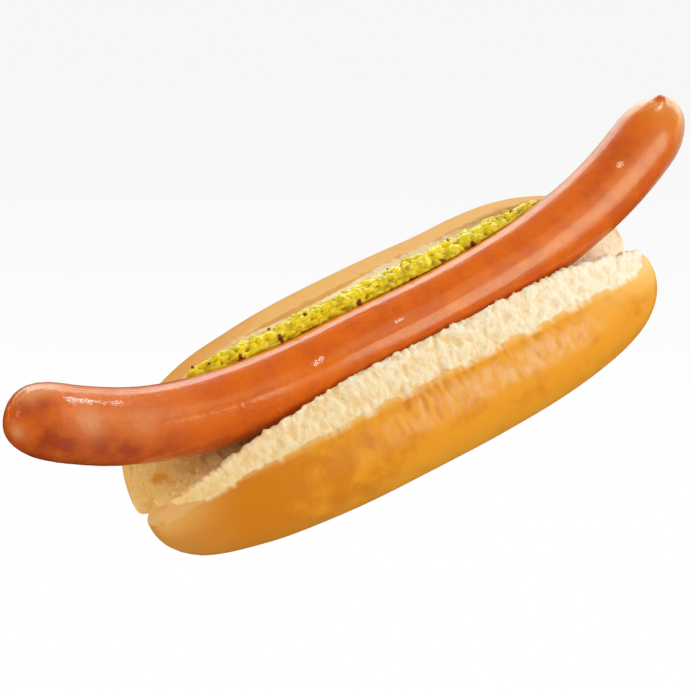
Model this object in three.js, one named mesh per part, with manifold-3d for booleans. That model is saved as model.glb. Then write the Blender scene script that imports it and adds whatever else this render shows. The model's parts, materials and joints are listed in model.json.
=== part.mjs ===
// A hot dog: a soft split bun, a long grilled sausage that lies in the split and curls up past
// both ends, and a strip of chopped pickle relish along the far side of the sausage.
//
// Units are millimetres. +X runs along the bun, +Y points across it to the relish side and +Z
// is up. The origin is the middle of the bun's flat underside.

import * as THREE from "three";
import { mergeVertices } from "three/addons/utils/BufferGeometryUtils.js";
import Module from "manifold-3d";

// ------------------------------------------------------------------- driving dimensions
const CLEARANCE = 0.35; // left between pieces that touch
const GROOVE_PLAY = 0.7; // left round the sausage, which also allows for the flat facets

const BUN = {
  halfLength: 86.4,
  halfWidth: 34.1,
  waist: 18, // height of the widest line
  sink: 1, // how far the round underside is pressed flat
  baseRoundness: 2.6, // exponents of the superellipses that round the loaf
  topRoundness: 2.3,
  hinge: 3.2, // height of the bottom of the split at both ends
  noseShare: 0.4, // how far up a half its ends reach furthest, from the hinge, 0, to the lip, 1
  hingeWidth: 0.3, // share of each half over which one half's rounding passes to the other's
  grooveFloor: 24,
  ridgeShare: 0.62, // share of the cut face that lies between the two ridges
  wallBow: { out: 0.8, up: 2.2 }, // exponents of the groove's curve from its floor to a ridge
  endBow: 1.3, // exponent of the V that ends the loaf, from the hinge up to a tip
  tear: 0.35, // how far the torn crumb's tufts stand out or in
};

// The cut face of each half: its ridge beside the sausage, and its lip where crumb meets crust.
// y is the distance from the middle plane. Each end has a tip that the lip tapers to and a
// roundness of its own. Its nose stops short of the loaf's full length by what is given, and
// its lip stops short of the nose by the setback.
const HALF = {
  near: {
    top: 20.1,
    ridge: { y: 10.4, z: 41.2 },
    lipY: 20.6,
    left: { tip: { y: 12, z: 16 }, roundness: 2.9, short: 1.2, setback: 2.5 },
    right: { tip: { y: 8.4, z: 17.9 }, roundness: 2.8, short: 0, setback: 2 },
  },
  far: {
    top: 21.3,
    ridge: { y: 10.4, z: 39.0 },
    lipY: 21.3,
    left: { tip: { y: 5.6, z: 21.5 }, roundness: 2.4, short: 0, setback: 3 },
    right: { tip: { y: 5.6, z: 22.4 }, roundness: 2.4, short: 0, setback: 6 },
  },
};

// The notch between the two halves at each end of the loaf.
const NOTCH = { left: 6, right: 3, sharpness: 5 };

// The near half leans away from the sausage towards the left end.
const SPREAD = { width: 5.8, from: -17, to: -77 };

const SAUSAGE = {
  lowX: -12.3, // where it lies lowest
  height: 35, // of its axis there
  lean: THREE.MathUtils.degToRad(49.7), // of the plane it curls in, from upright towards +Y
  bendPower: 3.2,
  radius: 10.53,
  leftEnd: { x: -111, radius: 10.8, cap: 12.7, roundness: 2.55, rise: 28.8, reach: 100 },
  rightEnd: { x: 109.9, radius: 10.3, cap: 13.8, roundness: 2.04, rise: 17.7, reach: 110 },
};

// The tied end of the casing, a small bead on the top of the right tip.
const KNOT = { x: 107.3, angle: THREE.MathUtils.degToRad(75), radius: 1.3 };

const RELISH = {
  from: -58,
  to: 54,
  y: 13.2,
  z: 39.4,
  halfWidth: 4.1,
  halfDepth: 2.3,
  tilt: THREE.MathUtils.degToRad(-14), // it lies on the sloping cut face
  taper: 5, // exponent of the thinning towards both ends
  follow: 0.6, // how much of the sausage's sideways curve it shares
  lumpiness: 0.22,
  bits: 60,
  bitSize: [1.4, 2.4],
  bitStretch: [1.35, 0.95, 0.75],
  bitCorner: [0.82, 1.18], // how uneven the corners of a bit are
  bitArc: [0.12, 0.88], // the part of the core's upper side that the bits lie on
};

const STATIONS = { bun: 26, sausage: 25, relish: 24 };
const SIDES = { bun: 25, sausage: 26, relish: 9 };
const NEAREST_STEPS = 6; // rounds in which the nearest place on the sausage's axis is found

// ------------------------------------------------------------------------------ helpers
const clamp01 = (value) => THREE.MathUtils.clamp(value, 0, 1);
const smooth = (value, from, to) => {
  const t = clamp01((value - from) / (to - from));
  return t * t * (3 - 2 * t);
};
const mix = THREE.MathUtils.lerp;
const signedPower = (value, power) => Math.sign(value) * Math.abs(value) ** power;

function seededRandom(seed) {
  let state = seed;
  return () => {
    state = (state * 1664525 + 1013904223) % 4294967296;
    return state / 4294967296;
  };
}

/** Unevenness between -1 and 1 that wanders smoothly with three coordinates. */
function wander(x, y, z) {
  return (
    0.5 * Math.sin(0.41 * x + 0.83 * y + 1.3) * Math.cos(0.57 * z - 0.22 * x) +
    0.3 * Math.sin(1.13 * x - 0.71 * z + 0.4) +
    0.2 * Math.cos(1.9 * y + 0.9 * x)
  );
}

/** Joins rings of points, which all go round the same way, into one closed surface. */
function skin(rings) {
  const positions = [];
  const triangle = (a, b, c) => positions.push(...a.toArray(), ...b.toArray(), ...c.toArray());
  for (let i = 0; i + 1 < rings.length; i++) {
    const ring = rings[i];
    const next = rings[i + 1];
    ring.forEach((corner, j) => {
      const k = (j + 1) % ring.length;
      triangle(corner, ring[k], next[k]);
      triangle(corner, next[k], next[j]);
    });
  }
  return positions;
}

/** Welds the corners and drops the triangles that have shrunk to a line. */
function weld(positions) {
  const geometry = new THREE.BufferGeometry();
  geometry.setAttribute("position", new THREE.Float32BufferAttribute(positions, 3));
  const merged = mergeVertices(geometry, 1e-4);
  const index = Array.from(merged.index.array);
  const kept = [];
  for (let i = 0; i < index.length; i += 3) {
    const [a, b, c] = index.slice(i, i + 3);
    if (a !== b && b !== c && c !== a) kept.push(a, b, c);
  }
  merged.setIndex(kept);
  return merged;
}

// ---------------------------------------------------------------------------------- bun
/** The lip of one half, on the loaf's rounded outside. */
function lip(half) {
  const share = (half.lipY / BUN.halfWidth) ** BUN.topRoundness;
  const z = BUN.waist + half.top * (1 - share) ** (1 / BUN.topRoundness);
  return { y: half.lipY, z, angle: Math.acos(Math.sqrt(share)) };
}

/** Where the crust and the cut face meet at the ends: a V from one tip over the hinge. */
function endLine(tau, side) {
  const { tip } = (tau < 0 ? HALF.near : HALF.far)[side];
  return { y: tip.y * tau, z: mix(BUN.hinge, tip.z, Math.abs(tau) ** BUN.endBow) };
}

/** How far the loaf reaches along X at tau: each half ends in a nose, with a notch between. */
function reach(tau, side) {
  const half = tau < 0 ? HALF.near : HALF.far;
  const share = Math.abs(tau);
  const above = clamp01((share - BUN.noseShare) / (1 - BUN.noseShare));
  const below = clamp01(1 - share / BUN.noseShare);
  const { short, setback } = half[side];
  const nose = short + setback * (1 - Math.sqrt(1 - above ** 2));
  return BUN.halfLength - mix(nose, NOTCH[side], below ** NOTCH.sharpness);
}

/** A point of the crust: tau runs from the near lip, -1, under the loaf to the far lip, 1. */
function crustPoint(tau) {
  const start = Math.PI - lip(HALF.near).angle;
  const end = 2 * Math.PI + lip(HALF.far).angle;
  const angle = mix(start, end, (tau + 1) / 2);
  const [across, up] = [Math.cos(angle), Math.sin(angle)];
  const power = 2 / (up > 0 ? BUN.topRoundness : BUN.baseRoundness);
  const half = across < 0 ? HALF.near : HALF.far;
  const rise = up > 0 ? half.top : BUN.waist + BUN.sink;
  return {
    y: BUN.halfWidth * signedPower(across, power),
    z: BUN.waist + rise * signedPower(up, power),
  };
}

/** A point of the cut face: tau runs from the near lip, -1, through the groove to 1. */
function crumbPoint(tau, x) {
  const half = tau < 0 ? HALF.near : HALF.far;
  const spread = tau < 0 ? SPREAD.width * smooth(x, SPREAD.from, SPREAD.to) : 0;
  const ridgeY = half.ridge.y + spread;
  const down = clamp01(Math.abs(tau) / BUN.ridgeShare);
  const out = clamp01((Math.abs(tau) - BUN.ridgeShare) / (1 - BUN.ridgeShare));
  const edge = lip(half);
  const y = out > 0 ? mix(ridgeY, edge.y, out) : ridgeY * down ** BUN.wallBow.out;
  const wall = mix(BUN.grooveFloor, half.ridge.z, down ** BUN.wallBow.up);
  return { y: Math.sign(tau) * y, z: out > 0 ? mix(half.ridge.z, edge.z, out) : wall };
}

/** Moves a point of the groove out of the sausage, so that the crumb cradles it. */
function clearOfSausage(point) {
  let { x } = point;
  for (let i = 0; i < NEAREST_STEPS; i++) {
    const at = sausageAxis(x);
    x += point.clone().sub(at.centre).dot(at.along) * at.along.x;
  }
  const { centre, along, radius } = sausageAxis(x);
  const outward = point.clone().sub(centre);
  outward.addScaledVector(along, -outward.dot(along));
  const missing = radius + GROOVE_PLAY - outward.length();
  if (missing > 0) point.addScaledVector(outward.normalize(), missing);
  return point;
}

/** One closed ring round the bun at share s of its half length. */
function bunRing(s, random) {
  const side = s < 0 ? "left" : "right";
  const place = (tau, at) => {
    const end = endLine(tau, side);
    const farShare = smooth(tau, -BUN.hingeWidth, BUN.hingeWidth);
    const roundness = mix(HALF.near[side].roundness, HALF.far[side].roundness, farShare);
    const size = (1 - Math.abs(s) ** roundness) ** (1 / roundness);
    return new THREE.Vector3(s * reach(tau, side), mix(end.y, at.y, size), mix(end.z, at.z, size));
  };
  const ring = [];
  for (let i = 0; i <= SIDES.bun; i++) {
    const tau = mix(-1, 1, i / SIDES.bun);
    const point = place(tau, crustPoint(tau));
    point.z = Math.max(point.z, 0);
    ring.push(point);
  }
  for (let i = 1; i < SIDES.bun; i++) {
    const tau = mix(1, -1, i / SIDES.bun);
    const point = place(tau, crumbPoint(tau, s * BUN.halfLength));
    const torn = BUN.tear * (1 - s ** 2) * (2 * random() - 1);
    ring.push(clearOfSausage(point.add(new THREE.Vector3(0, Math.sign(tau) * torn, torn))));
  }
  return ring;
}

function bunGeometry() {
  const random = seededRandom(11);
  const rings = [];
  for (let i = -STATIONS.bun; i <= STATIONS.bun; i++) {
    rings.push(bunRing(Math.sin((Math.PI / 2) * (i / STATIONS.bun)), random));
  }
  return weld(skin(rings));
}

// ------------------------------------------------------------------------------ sausage
/** The sausage's axis, its direction and its radius at x. */
function sausageAxis(x) {
  const end = x < SAUSAGE.lowX ? SAUSAGE.leftEnd : SAUSAGE.rightEnd;
  const share = (x - SAUSAGE.lowX) / end.reach;
  const bend = end.rise * Math.abs(share) ** SAUSAGE.bendPower;
  const slope = (bend * SAUSAGE.bendPower) / (x - SAUSAGE.lowX || 1);
  const [sideways, upward] = [Math.sin(SAUSAGE.lean), Math.cos(SAUSAGE.lean)];
  return {
    centre: new THREE.Vector3(x, bend * sideways, SAUSAGE.height + bend * upward),
    along: new THREE.Vector3(1, slope * sideways, slope * upward).normalize(),
    radius: mix(SAUSAGE.radius, end.radius, smooth(Math.abs(share), 0, 0.9)),
  };
}

/** How much of its full radius the sausage has at x: less than one only in its round caps. */
function capShare(x) {
  const end = x < SAUSAGE.lowX ? SAUSAGE.leftEnd : SAUSAGE.rightEnd;
  const past = clamp01(1 - Math.abs(end.x - x) / end.cap);
  return (1 - past ** end.roundness) ** (1 / end.roundness);
}

/** A point of the casing: the angle runs from the far side, over the top, to the near side. */
function casingPoint(x, angle, grow = 0) {
  const { centre, along, radius } = sausageAxis(x);
  const side = new THREE.Vector3(0, 0, 1).cross(along).normalize();
  const top = along.clone().cross(side);
  const size = radius * capShare(x) + grow;
  centre.addScaledVector(side, size * Math.cos(angle));
  return centre.addScaledVector(top, size * Math.sin(angle));
}

function sausageRing(x, grow) {
  const ring = [];
  for (let i = 0; i < SIDES.sausage; i++) {
    ring.push(casingPoint(x, (2 * Math.PI * i) / SIDES.sausage, grow));
  }
  return ring;
}

function sausageGeometry() {
  const { leftEnd, rightEnd } = SAUSAGE;
  const rings = [];
  for (let i = -STATIONS.sausage; i <= STATIONS.sausage; i++) {
    const share = Math.sin((Math.PI / 2) * (i / STATIONS.sausage));
    rings.push(sausageRing(mix(leftEnd.x, rightEnd.x, (1 + share) / 2), 0));
  }
  return weld(skin(rings));
}

/** The stretch of the sausage beside the relish, swollen by the clearance and closed by flat caps. */
function sausageClearance() {
  const [spare, step] = [10, 4];
  const rings = [];
  for (let x = RELISH.from - spare; x <= RELISH.to + spare; x += step) {
    rings.push(sausageRing(x, CLEARANCE));
  }
  const cap = (ring) => ring.map(() => centreOf(ring));
  return weld(skin([cap(rings[0]), ...rings, cap(rings.at(-1))]));
}

function centreOf(points) {
  const sum = points.reduce((total, point) => total.add(point), new THREE.Vector3());
  return sum.divideScalar(points.length);
}

function knotGeometry() {
  const bead = new THREE.IcosahedronGeometry(KNOT.radius, 1);
  bead.deleteAttribute("normal");
  bead.deleteAttribute("uv");
  bead.translate(...casingPoint(KNOT.x, KNOT.angle).toArray());
  return mergeVertices(bead);
}

// ------------------------------------------------------------------------------- relish
function relishAxis(x) {
  const share = (2 * x - RELISH.from - RELISH.to) / (RELISH.to - RELISH.from);
  const size = Math.sqrt(1 - Math.abs(share) ** RELISH.taper);
  const y = RELISH.y + RELISH.follow * sausageAxis(x).centre.y;
  return { size, centre: new THREE.Vector3(x, y, RELISH.z) };
}

/** A point of the tilted cross-section at x, out by grow times the core's size. */
function relishPoint(x, angle, grow = 1) {
  const { size, centre } = relishAxis(x);
  const y = RELISH.halfWidth * size * grow * Math.cos(angle);
  const z = RELISH.halfDepth * size * grow * Math.sin(angle);
  const [cos, sin] = [Math.cos(RELISH.tilt), Math.sin(RELISH.tilt)];
  return centre.add(new THREE.Vector3(0, y * cos - z * sin, y * sin + z * cos));
}

/** The core of the relish: a lumpy ridge that thins out at both ends. */
function relishCore() {
  const rings = [];
  for (let i = -STATIONS.relish; i <= STATIONS.relish; i++) {
    const share = Math.sin((Math.PI / 2) * (i / STATIONS.relish));
    const x = mix(RELISH.from, RELISH.to, (1 + share) / 2);
    const ring = [];
    for (let j = 0; j < SIDES.relish; j++) {
      const angle = (2 * Math.PI * j) / SIDES.relish;
      const lump = RELISH.lumpiness * wander(x, 3 * Math.cos(angle), 3 * Math.sin(angle));
      ring.push(relishPoint(x, angle, 1 + lump));
    }
    rings.push(ring);
  }
  return weld(skin(rings));
}

/** One chopped bit of pickle: a rough chip with flat sides. */
function pickleBit(random) {
  const bit = new THREE.IcosahedronGeometry(1, 0);
  bit.deleteAttribute("normal");
  bit.deleteAttribute("uv");
  const geometry = mergeVertices(bit);
  const { position } = geometry.attributes;
  const size = mix(...RELISH.bitSize, random());
  const stretch = new THREE.Vector3(...RELISH.bitStretch).multiplyScalar(size);
  const turn = new THREE.Euler(Math.PI * random(), Math.PI * random(), 2 * Math.PI * random());
  for (let i = 0; i < position.count; i++) {
    const corner = new THREE.Vector3().fromBufferAttribute(position, i);
    corner.multiplyScalar(mix(...RELISH.bitCorner, random())).multiply(stretch).applyEuler(turn);
    position.setXYZ(i, ...corner.toArray());
  }
  return geometry;
}

/** The chopped bits, spread evenly along the core's top: each lies a golden turn on from the last. */
function pickleBits() {
  const [random, goldenShare, spare] = [seededRandom(7), 0.618, 1.5];
  const bits = [];
  for (let i = 0; i < RELISH.bits; i++) {
    const along = (i + random()) / RELISH.bits;
    const angle = Math.PI * mix(...RELISH.bitArc, (i * goldenShare) % 1);
    const bit = pickleBit(random);
    const at = relishPoint(mix(RELISH.from + spare, RELISH.to - spare, along), angle);
    bit.translate(...at.toArray());
    bits.push(bit);
  }
  return bits;
}

// ----------------------------------------------------------------------- joins and cuts
const wasm = await Module();
wasm.setup();

function toSolid(geometry) {
  return new wasm.Manifold(
    new wasm.Mesh({
      numProp: 3,
      vertProperties: new Float32Array(geometry.attributes.position.array),
      triVerts: new Uint32Array(geometry.index.array),
    }),
  );
}

function toGeometry(solid) {
  const mesh = solid.getMesh();
  const geometry = new THREE.BufferGeometry();
  geometry.setAttribute("position", new THREE.BufferAttribute(mesh.vertProperties, 3));
  geometry.setIndex(new THREE.BufferAttribute(mesh.triVerts, 1));
  return geometry;
}

/** A copy of a closed surface with every corner moved out along its normal. */
function swollen(geometry, distance) {
  const copy = geometry.clone();
  copy.computeVertexNormals();
  const { position, normal } = copy.attributes;
  for (let i = 0; i < position.count; i++) {
    const corner = new THREE.Vector3().fromBufferAttribute(position, i);
    const outward = new THREE.Vector3().fromBufferAttribute(normal, i);
    position.setXYZ(i, ...corner.addScaledVector(outward, distance).toArray());
  }
  return copy;
}

const largest = (solid) =>
  solid.decompose().reduce((best, piece) => (piece.volume() > best.volume() ? piece : best));

function sausageWithKnot() {
  return toGeometry(toSolid(sausageGeometry()).add(toSolid(knotGeometry())));
}

/** The core and its bits as one body, cut back from the bun and the sausage. */
function relishGeometry(bun) {
  let heap = toSolid(relishCore());
  for (const bit of pickleBits()) heap = heap.add(toSolid(bit));
  heap = heap.subtract(toSolid(swollen(bun, CLEARANCE)));
  heap = heap.subtract(toSolid(sausageClearance()));
  return toGeometry(largest(heap));
}

// ---------------------------------------------------------------------------- hot dog
function piece(name, geometry, colour, roughness) {
  const material = new THREE.MeshStandardMaterial({ color: colour, roughness, metalness: 0 });
  const mesh = new THREE.Mesh(geometry, material);
  mesh.name = name;
  return mesh;
}

const hotDog = new THREE.Group();
const bun = bunGeometry();
hotDog.add(piece("bun", bun, 0xe0a050, 0.7));
hotDog.add(piece("sausage", sausageWithKnot(), 0xc85a20, 0.3));
hotDog.add(piece("relish", relishGeometry(bun), 0xb0a030, 0.35));

export default hotDog;
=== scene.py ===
"""A hot dog: a soft split bun, a curved grilled sausage and a strip of chopped pickle relish.

Shapes are worked out in millimetres, from the same rules as the solids of the frame, and
are scaled to metres when a mesh is made. +X runs along the bun, +Y points across it to the
relish side and +Z is up. The near half of the bun is the one on the -Y side.
"""

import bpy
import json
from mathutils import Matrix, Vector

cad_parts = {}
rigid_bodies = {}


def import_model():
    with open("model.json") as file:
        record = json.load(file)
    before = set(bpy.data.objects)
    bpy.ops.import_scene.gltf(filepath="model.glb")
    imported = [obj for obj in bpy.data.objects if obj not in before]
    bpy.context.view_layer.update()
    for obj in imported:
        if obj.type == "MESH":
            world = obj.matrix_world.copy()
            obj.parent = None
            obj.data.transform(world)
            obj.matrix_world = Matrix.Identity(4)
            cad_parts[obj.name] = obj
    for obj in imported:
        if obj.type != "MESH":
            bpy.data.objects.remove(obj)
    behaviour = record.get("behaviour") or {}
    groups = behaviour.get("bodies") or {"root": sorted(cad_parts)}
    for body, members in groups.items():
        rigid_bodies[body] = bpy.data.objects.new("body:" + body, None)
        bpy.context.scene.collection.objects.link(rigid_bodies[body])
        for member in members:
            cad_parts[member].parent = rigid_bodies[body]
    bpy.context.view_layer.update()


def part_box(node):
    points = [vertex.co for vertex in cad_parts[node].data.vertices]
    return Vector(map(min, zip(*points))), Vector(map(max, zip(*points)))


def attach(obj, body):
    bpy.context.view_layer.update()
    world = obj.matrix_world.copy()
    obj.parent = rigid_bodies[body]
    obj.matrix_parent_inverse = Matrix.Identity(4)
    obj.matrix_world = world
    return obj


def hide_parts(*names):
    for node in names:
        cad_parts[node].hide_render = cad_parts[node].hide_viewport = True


bl_info = {
    "name": "Hot Dog",
    "version": (1, 0, 0),
    "blender": (4, 5, 0),
    "location": "View3D > Sidebar > Hot Dog",
    "description": "Builds a hot dog with a torn crumb, a glossy casing and pickle relish",
    "category": "Add Mesh",
}

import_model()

import json
import math
from types import SimpleNamespace

import bmesh
import bpy
import numpy as np
from bpy.props import FloatProperty, FloatVectorProperty, IntProperty, PointerProperty
from bpy.types import Operator, Panel, PropertyGroup
from mathutils import Vector, noise

MM = 0.001
BODY = "root"

# ---------------------------------------------------------------------- shape of the food
# The loaf is a rounded box round its waist, split from above: each half has a lip, where crust
# and cut face meet, and a ridge, where the cut face turns down into the groove. The higher a
# roundness, the boxier the line. The underside sinks into the table and is cut flat there.
BUN_LOW, BUN_HIGH = (np.array(corner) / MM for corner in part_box("bun"))
BUN = {
    "half_length": (BUN_HIGH[0] - BUN_LOW[0]) / 2,
    "half_width": 34.1,
    "waist": 18.0,
    "sink": 1.0,
    "base_roundness": 2.6,
    "top_roundness": 2.3,
    "hinge": 3.2,
    "nose_share": 0.4,
    "hinge_width": 0.3,
    "groove_floor": 24.0,
    "ridge_share": 0.62,
    "end_bow": 1.3,
}
# At each end a half runs out in a nose, with its tip so far from the middle and so high. The
# nose is a little short of the loaf's full length, and the lip is set back behind it.
NEAR = {
    "top": 20.1,
    "ridge_y": 10.4,
    "ridge_z": 41.2,
    "lip_y": 20.6,
    "left": {"tip_y": 12.0, "tip_z": 16.0, "roundness": 2.9, "short": 1.2, "setback": 2.5},
    "right": {"tip_y": 8.4, "tip_z": 17.9, "roundness": 2.8, "short": 0.0, "setback": 2.0},
}
FAR = {
    "top": 21.3,
    "ridge_y": 10.4,
    "ridge_z": 39.0,
    "lip_y": 21.3,
    "left": {"tip_y": 5.6, "tip_z": 21.5, "roundness": 2.45, "short": 0.4, "setback": 3.0},
    "right": {"tip_y": 5.6, "tip_z": 22.4, "roundness": 2.4, "short": 0.0, "setback": 6.0},
}
# How far the split cuts in between the two noses, and the near ridge's lean towards the left.
NOTCH = {"left": 6.0, "right": 3.0, "sharpness": 5.0}
SPREAD = {"width": 5.8, "start": -17.0, "end": -77.0}
# Gap between crumb and casing along the groove's sides, before and after the crumb is torn, and
# how deep the sausage is pressed into its bottom.
GROOVE_PLAY = 0.45
TORN_PLAY = 0.15
PRESS = 0.15

# The sausage lies lowest at LOW_X and bends up from there to both ends, leaning to the far side.
# Each end rises so much over its reach, and closes in a cap.
LOW_X = -12.3
AXIS_HEIGHT = 35.0
LEAN = math.radians(49.7)
BEND_POWER = 3.2
RADIUS = 10.53
LEFT_END = {"x": -111.0, "radius": 10.8, "cap": 12.7, "roundness": 2.55, "rise": 28.8, "reach": 100.0}
RIGHT_END = {"x": 109.9, "radius": 10.3, "cap": 13.8, "roundness": 2.04, "rise": 17.7, "reach": 110.0}

RELISH = {"start": -60.0, "end": 60.0, "y": 12.8, "z": 39.2, "half_width": 2.8, "half_depth": 1.725}
RELISH_TILT = math.radians(-14)
RELISH_MASKS = ("tone", "gap", "spice")
RELISH_STEPS = {"along": 620, "upper": 86, "lower": 16}
# Chopped pieces packed on the relish: their spacing, how far across they lie, and their sizes.
CHOPPED = {"spacing": 1.6, "reach": 6.0, "long": (1.1, 2.4), "wide": (0.8, 1.5), "high": (0.3, 1.3)}
# Brown specks of spice in the relish, each given as x, place across the strip and size.
SPICE = (
    (-44.5, -2.0, 1.0),
    (-31.7, -2.2, 1.2),
    (-24.7, -3.7, 1.0),
    (-22.6, -3.1, 0.9),
    (-18.4, -3.8, 1.4),
    (-12.0, 0.6, 0.7),
    (-6.2, -3.4, 1.3),
    (2.0, -3.8, 1.2),
    (5.7, -3.6, 1.1),
    (14.0, 0.4, 0.7),
    (22.7, -3.2, 1.3),
    (33.3, -2.8, 1.1),
    (50.3, 0.8, 1.2),
)
# Loose pieces strewn over the relish: the shapes that they are picked from, and how they lie.
BIT_SHAPES = {"count": 5, "stretch": (1.45, 1.0, 0.8), "roundness": 0.45, "seed": 2.0}
BITS = {"Smallest": 0.5, "Largest": 0.9, "Sink": -0.0003}
SPECK_SHAPES = {"count": 3, "stretch": (0.75, 0.6, 0.5), "roundness": 0.8, "seed": 40.0}
SPECKS = {"Smallest": 0.5, "Largest": 1.0, "Sink": 0.0003, "Density": 90000.0, "Spacing": 0.0042, "Seed": 9}


# --------------------------------------------------------------------------------- helpers
def smooth(value, start, end):
    """0 before start, 1 after end, and an even S between them."""
    t = np.clip((value - start) / (end - start), 0.0, 1.0)
    return t * t * (3 - 2 * t)


def mix(first, second, share):
    return first + (second - first) * share


def signed_power(value, power):
    return np.sign(value) * np.abs(value) ** power


def bell(value, middle, width, power=2):
    """1 in the middle, falling away on both sides of it."""
    return np.exp(-((np.abs(value - middle) / width) ** power))


def noise_at(points, size, shift=0.0):
    """Smooth noise between about -1 and 1, whose lumps measure size along each axis."""
    scaled = np.asarray(points).reshape(-1, 3) / np.asarray(size) + shift
    values = [noise.noise(Vector(p)) for p in scaled.tolist()]
    return np.array(values).reshape(np.shape(points)[:-1])


def foam_at(points, size):
    """(depth, tone) of a foam of bubbles: depth is 0 on the walls and 1 inside a bubble."""
    scaled = np.asarray(points).reshape(-1, 3) / np.asarray(size)
    depth, tone = [], []
    for p in scaled.tolist():
        distances, centres = noise.voronoi(Vector(p))
        depth.append(distances[1] - distances[0])
        tone.append(noise.cell(centres[0] * 7.3))
    shape = np.shape(points)[:-1]
    return smooth(np.array(depth), 0.0, 0.55).reshape(shape), np.array(tone).reshape(shape)


def even_stations(outline, count):
    """Shares at which count + 1 points lie evenly along outline(share), share from 0 to 1."""
    share = 0.5 - 0.5 * np.cos(np.linspace(0, math.pi, 4000))
    points = outline(share)
    steps = np.linalg.norm(np.diff(points, axis=0), axis=1)
    length = np.concatenate([[0.0], np.cumsum(steps)])
    return np.interp(np.linspace(0, length[-1], count + 1), length, share)


def grid_normals(grid):
    """Outward unit normals of closed rings stacked along the first axis of a grid of points."""
    along = np.gradient(grid, axis=0)
    around = np.roll(grid, -1, axis=1) - np.roll(grid, 1, axis=1)
    normal = np.cross(around, along)
    length = np.linalg.norm(normal, axis=2, keepdims=True)
    return normal / np.maximum(length, 1e-9)


def mesh_from_rings(name, rings, attributes):
    """A closed smooth mesh in metres from rings whose first and last ring are a fold or a pole."""
    stations, sides = rings.shape[:2]
    i, j = np.meshgrid(np.arange(stations - 1), np.arange(sides), indexing="ij")
    k = (j + 1) % sides
    quads = np.stack([i * sides + j, i * sides + k, (i + 1) * sides + k, (i + 1) * sides + j], -1)
    mesh = bpy.data.meshes.new(name)
    mesh.from_pydata((rings.reshape(-1, 3) * MM).tolist(), [], quads.reshape(-1, 4).tolist())
    for key, values in attributes.items():
        flat = np.asarray(values, dtype=np.float32).reshape(stations * sides, -1)
        kind, field = ("FLOAT", "value") if flat.shape[1] == 1 else ("FLOAT_VECTOR", "vector")
        mesh.attributes.new(key, kind, "POINT").data.foreach_set(field, flat.ravel())
    return weld(mesh)


def weld(mesh):
    """Merges the doubles, drops what has no area, turns the faces outwards and shades smooth."""
    work = bmesh.new()
    work.from_mesh(mesh)
    bmesh.ops.remove_doubles(work, verts=work.verts, dist=2e-6)
    bmesh.ops.dissolve_degenerate(work, dist=1e-7, edges=work.edges)
    bmesh.ops.recalc_face_normals(work, faces=work.faces)
    for face in work.faces:
        face.smooth = True
    work.to_mesh(mesh)
    work.free()
    return mesh


def add_object(name, mesh, material=None):
    obj = bpy.data.objects.new(name, mesh)
    bpy.context.scene.collection.objects.link(obj)
    if material is not None:
        mesh.materials.clear()
        mesh.materials.append(material)
    return obj


# ------------------------------------------------------------------------------- the axis
def sausage_axis(x):
    """Centre, direction and radius of the sausage at x."""
    x = np.asarray(x, dtype=float)
    left = x < LOW_X

    def of_end(key):
        return np.where(left, LEFT_END[key], RIGHT_END[key])

    share = (x - LOW_X) / of_end("reach")
    bend = of_end("rise") * np.abs(share) ** BEND_POWER
    slope = bend * BEND_POWER / np.where(np.abs(x - LOW_X) < 1e-6, 1.0, x - LOW_X)
    sideways, upward = math.sin(LEAN), math.cos(LEAN)
    centre = np.stack([x, bend * sideways, AXIS_HEIGHT + bend * upward], -1)
    along = np.stack([np.ones_like(x), slope * sideways, slope * upward], -1)
    along /= np.linalg.norm(along, axis=-1, keepdims=True)
    return centre, along, mix(RADIUS, of_end("radius"), smooth(np.abs(share), 0, 0.9))


def cap_share(x):
    """Share of its full radius that the sausage has at x, less than 1 only in its caps."""
    shares = []
    for end in (LEFT_END, RIGHT_END):
        past = np.clip(1 - np.abs(end["x"] - x) / end["cap"], 0, 1)
        shares.append((1 - past ** end["roundness"]) ** (1 / end["roundness"]))
    return np.minimum(*shares)


def clear_of_sausage(points, play):
    """Points moved out of the sausage where they are nearer to its casing than play."""
    # A few steps find the place on the axis that lies nearest to each point.
    x = points[..., 0].copy()
    for _ in range(6):
        centre, along, _ = sausage_axis(x)
        x += np.sum((points - centre) * along, axis=-1) * along[..., 0]
    centre, along, radius = sausage_axis(x)
    outward = points - centre
    outward -= np.sum(outward * along, axis=-1, keepdims=True) * along
    distance = np.linalg.norm(outward, axis=-1)
    missing = np.clip(radius + play - distance, 0, None)
    return points + outward * (missing / np.maximum(distance, 1e-6))[..., None]


# -------------------------------------------------------------------------------- the bun
def lip(half):
    """Height and angle at which the cut face of a half meets the loaf's round outside."""
    share = (half["lip_y"] / BUN["half_width"]) ** BUN["top_roundness"]
    height = BUN["waist"] + half["top"] * (1 - share) ** (1 / BUN["top_roundness"])
    return height, math.acos(math.sqrt(share))


def by_half(tau, key):
    return np.where(tau < 0, NEAR[key], FAR[key])


def by_corner(s, tau, key):
    """The value for the half that tau lies in and the end that s lies towards."""
    near = np.where(s < 0, NEAR["left"][key], NEAR["right"][key])
    far = np.where(s < 0, FAR["left"][key], FAR["right"][key])
    return np.where(tau < 0, near, far)


def end_line(s, tau):
    """Where crust and cut face meet at the ends of the bun."""
    z = mix(BUN["hinge"], by_corner(s, tau, "tip_z"), np.abs(tau) ** BUN["end_bow"])
    return by_corner(s, tau, "tip_y") * tau, z


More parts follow.
